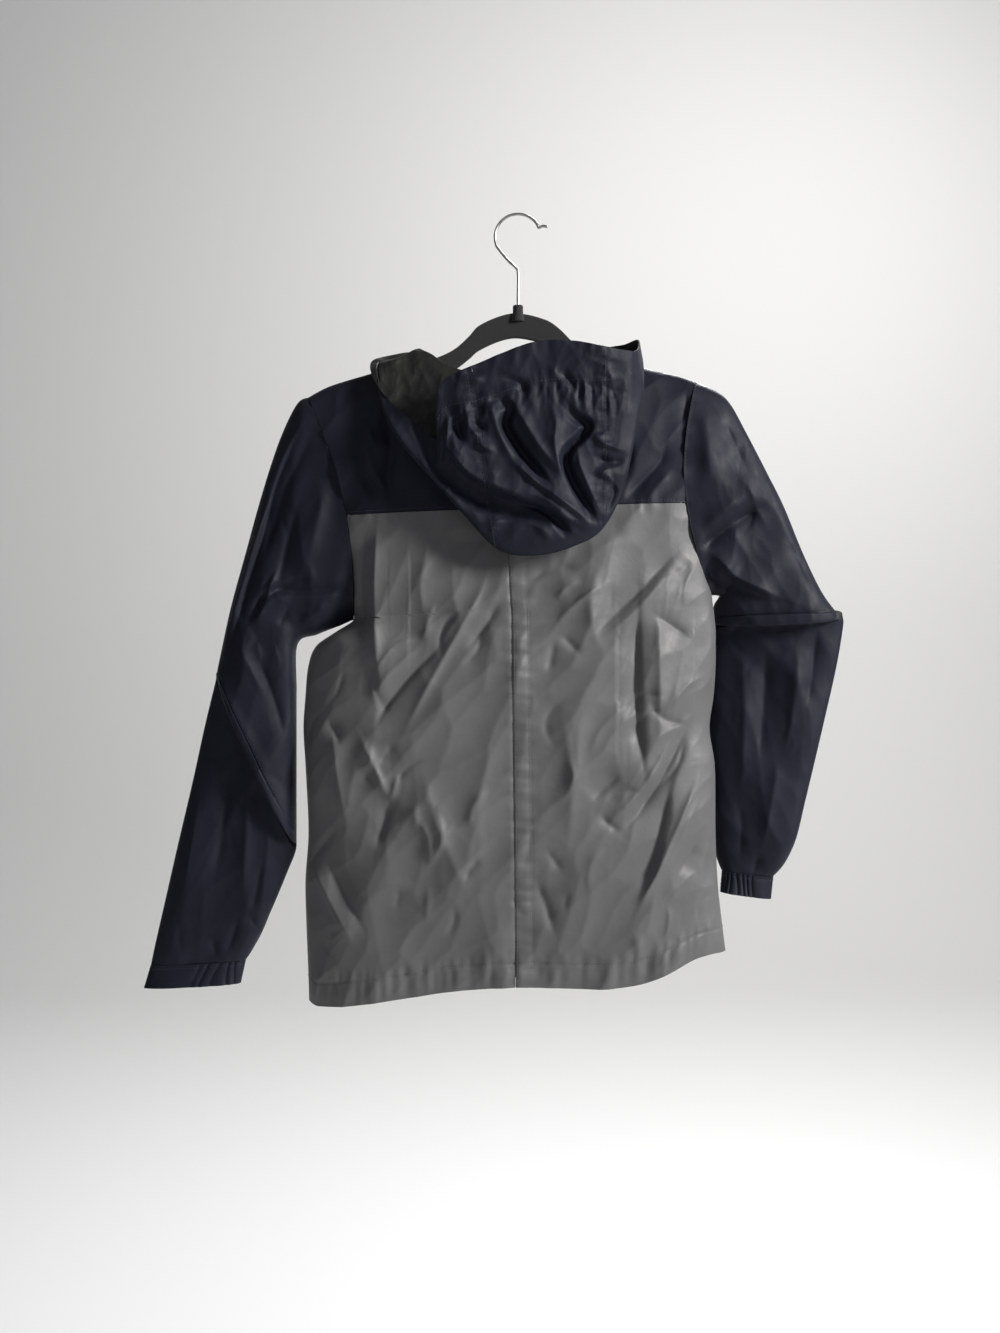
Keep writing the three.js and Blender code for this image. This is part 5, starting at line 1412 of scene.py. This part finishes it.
# %% Hanger
ARMS = np.array([  # x, top, height
    (-208, -186.5, 13), (-188, -174.5, 16), (-146, -161.5, 18), (-98, -148, 18), (-79, -141.5, 20),
    (-63, -133.5, 21), (-49, -121, 23), (-40, -111, 25), (-17, -100.5, 25), (1, -98, 25), (29, -105, 25),
    (42, -114, 25), (56, -128, 22), (78, -145.5, 18), (127, -156.5, 18), (176, -169.5, 16), (200, -182, 13)],
    float)
HALF_THICK, RECESS, ROUND_END = 2.5, 0.3, 5  # mm
BOSS_TOP, BOSS_FOOT, BOSS_RADIUS = -90, -106, 5.2
AROUND = 32


def rounded_end(distance, length, least):
    """The share of full size at a distance from a rounded end."""
    return np.sqrt(np.clip(1 - (1 - np.clip(distance / length, least, 1)) ** 2, 0, 1))


def arm_ring(x, shrink, around=AROUND):
    top, height = float(read(ARMS, x, 1)), float(read(ARMS, x, 2))
    middle, half = top - height / 2, height / 2 * shrink
    turn = np.linspace(0, 2 * np.pi, around, endpoint=False)
    z = half * np.sign(np.sin(turn)) * np.abs(np.sin(turn)) ** 0.6
    y = HALF_THICK * shrink * np.sign(np.cos(turn)) * np.abs(np.cos(turn)) ** 0.35
    dip = RECESS * ease((half - 2.5 - np.abs(z)) / 1.5) * np.clip(shrink * 4 - 3, 0, 1)
    return np.stack([np.full(around, x), y - np.sign(y) * dip, middle + z], -1)


xs = np.linspace(ARMS[0, 0], ARMS[-1, 0], 190)
from_end = np.minimum(xs - xs[0], xs[-1] - xs)
shrinks = rounded_end(from_end, ROUND_END, 0.02)
arms = ringed("moulded_arms", [arm_ring(x, k) for x, k in zip(xs, shrinks)], FLOCK)
NECK_PROFILE = [  # radius, height
    (6.6, BOSS_FOOT), (6.4, -103), (5.6, -99.5), (BOSS_RADIUS, -97), (BOSS_RADIUS, -91.2), (4.9, -90.4),
    (4.2, BOSS_TOP), (2.3, BOSS_TOP), (1.9, -90.6)]
turns = np.linspace(0, 2 * np.pi, AROUND, endpoint=False)
boss = ringed("moulded_neck", [
    np.stack([r * np.cos(turns), r * np.sin(turns), np.full(AROUND, z)], -1) for r, z in NECK_PROFILE], FLOCK)
hanger = joined("flocked_hanger", [arms, boss])
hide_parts("hanger")
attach(hanger, "root")
print("hanger", len(hanger.data.polygons), "faces")

# %% Hook
WIRE, LOOP = 1.4, 23  # mm, radius of the wire and of its bend
bend = np.radians(np.linspace(24, 208, 25))
path = np.concatenate([
    [(30, -11.6), (25, -10.6)],
    np.stack([LOOP * np.cos(bend), WIRE - LOOP + LOOP * np.sin(bend)], -1),
    [(-10.4, -44.6), (-2.6, -51.8), (0, -57), (0, -80), (0, -103.4)]])
steps = np.linspace(0, len(path) - 1, 260)
line = along(path, steps)
line = np.stack([line[:, 0], np.zeros(len(line)), line[:, 1]], -1)
ahead = np.gradient(line, axis=0)
ahead /= np.linalg.norm(ahead, axis=1, keepdims=True)
over = np.cross(ahead, (0, 1, 0))
from_tip = np.concatenate([[0], np.cumsum(np.linalg.norm(np.diff(line, axis=0), axis=1))])
radius = WIRE * rounded_end(from_tip, WIRE, 0.03)
turns = np.linspace(0, 2 * np.pi, 18, endpoint=False)
rings = (line[:, None] + radius[:, None, None] * (
    np.cos(turns)[None, :, None] * over[:, None] + np.sin(turns)[None, :, None] * np.array([0, 1, 0])))
hook = ringed("wire_hook", rings, STEEL)
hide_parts("hook")
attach(hook, "root")
print("hook", len(hook.data.polygons), "faces")

# %% [markdown]
# ## Stitches
# A lockstitch shows as a row of short threads, each dipping into the cloth at both ends. A row follows every
# seam and hem: two along the zip, a row beside the yoke and centre seams, one at the hem's fold and at the
# cuffs, and the gathered row of the hood's face edge. Each thread is a small bent capsule of 26 faces.

# %% One thread of a stitch
STITCH_LONG, STITCH_THICK, STITCH_PITCH = 2.5, 0.5, 3.3  # mm
SIDES = 6


def stitch_shape(name, length, thick, material):
    """A bent capsule along x that dips at both ends; z outwards."""
    points, rings = [], []
    for t, size in ((-1, 0.35), (-0.75, 0.9), (0, 1), (0.75, 0.9), (1, 0.35)):
        start = len(points)
        for k in range(SIDES):
            a = 2 * math.pi * k / SIDES
            points.append((t * length / 2 * MM, thick * size * math.cos(a) / 2 * MM,
                           (thick * size * math.sin(a) / 2 + 0.35 * thick * (1 - 1.7 * t * t)) * MM))
        rings.append(range(start, start + SIDES))
    faces = [tuple(rings[0])[::-1], tuple(rings[-1])]
    for low, high in zip(rings[:-1], rings[1:]):
        for k in range(SIDES):
            after = (k + 1) % SIDES
            faces.append((low[after], high[after], high[k], low[k]))
    return small_shape(name, points, faces, material)


def surface_line(place, first, second, lift=0.12):
    """A path on a cloth's surface: places (mm) along two parameters, and facings from its neighbours."""
    first, second = np.broadcast_arrays(np.asarray(first, float), np.asarray(second, float))
    points = place(first, second)
    across = place(first + 0.004, second) - place(first - 0.004, second)
    down = place(first, second + 0.004) - place(first, second - 0.004)
    facing = np.cross(across, down)
    facing /= np.maximum(np.linalg.norm(facing, axis=-1, keepdims=True), 1e-9)
    return (points + lift * facing) * MM, facing


def row_across(first, last, count, v):
    return surface_line(body_cloth, mix(first, last, np.linspace(0, 1, count)), np.full(count, v))


def rows_across(v, clear, on_back):
    """Rows over the back and both fronts at one height, that stop short of the side edges and the zip."""
    left, right = (front_edge(np.array(v), sign) for sign in (-1, 1))
    return [row_across(-np.pi + clear, -clear, on_back, v), row_across(clear, left - 0.04, 260, v),
            row_across(right + 0.04, np.pi - clear, 260, v)]


def rows_down(facing, v, *offsets):
    """Rows beside the centre line of the back or front, at offsets in mm."""
    return [surface_line(body_cloth, centre_turn(facing, v, off), v) for off in offsets]


def worn_line(cloth, side, turn, v):
    """A row round a sleeve or cuff, at one place along it."""
    points, facing = surface_line(lambda a, b: cloth(side, a, b), turn, np.full(len(turn), v))
    return points, facing * OUTWARD[side]


spots = np.linspace(0, 1, 420)
yoke_rows = rows_across(0.988, 0.06, 260)
body_rows = (rows_down(-1, 1.01 + 2.96 * spots, 2.2, 16) + rows_down(1, 1.01 + 2.94 * spots, -9, 9)
             + rows_across(3.0, 0.03, 420))
zip_top_rows = rows_down(1, np.linspace(0.03, 0.98, 120), -9, 9)
hood_v = np.linspace(5.25, 7.9, 200)
FACE_V = 8 - FACE_HEM / 92  # the last step of a section is about 92 mm long
hood_rows = [surface_line(hood_cloth, np.full(200, u), hood_v) for u in (SEAM_LEFT - 0.13, SEAM_RIGHT + 0.13)]
hood_rows.append(surface_line(hood_cloth, np.linspace(9.2, 15.3, 300), np.full(300, FACE_V)))
cap_turn, fold_turn = np.linspace(0.12, np.pi - 0.12, 200), np.linspace(0.22, np.pi - 0.35, 200)
cuff_turn = np.linspace(0.02, 2 * np.pi - 0.02, 320)
sleeve_rows = [
    worn_line(sleeve_cloth, "left", cap_turn, 0.09), worn_line(sleeve_cloth, "right", cap_turn, 0.09),
    worn_line(sleeve_cloth, "left", fold_turn, 6.82),
    worn_line(cuff_cloth, "left", cuff_turn, 0.17), worn_line(cuff_cloth, "right", cuff_turn, 0.17)]
navy_stitch = stitch_shape("navy_stitch", STITCH_LONG, STITCH_THICK, NAVY_THREAD)
grey_stitch = stitch_shape("grey_stitch", STITCH_LONG, STITCH_THICK, GREY_THREAD)
navy, grey = (navy_stitch, NAVY_THREAD, NAVY_SLOT), (grey_stitch, GREY_THREAD, GREY_SLOT)
for name, rows, (shape, material, slot) in (
        ("yoke_stitches", yoke_rows, navy), ("body_stitches", body_rows, grey),
        ("neck_stitches", zip_top_rows, navy), ("hood_stitches", hood_rows, navy),
        ("sleeve_stitches", sleeve_rows, navy)):
    row = repeated(name, rows, shape, STITCH_PITCH * MM, material)
    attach(row, "root")
for shape in (navy_stitch, grey_stitch):
    bpy.data.objects.remove(shape)
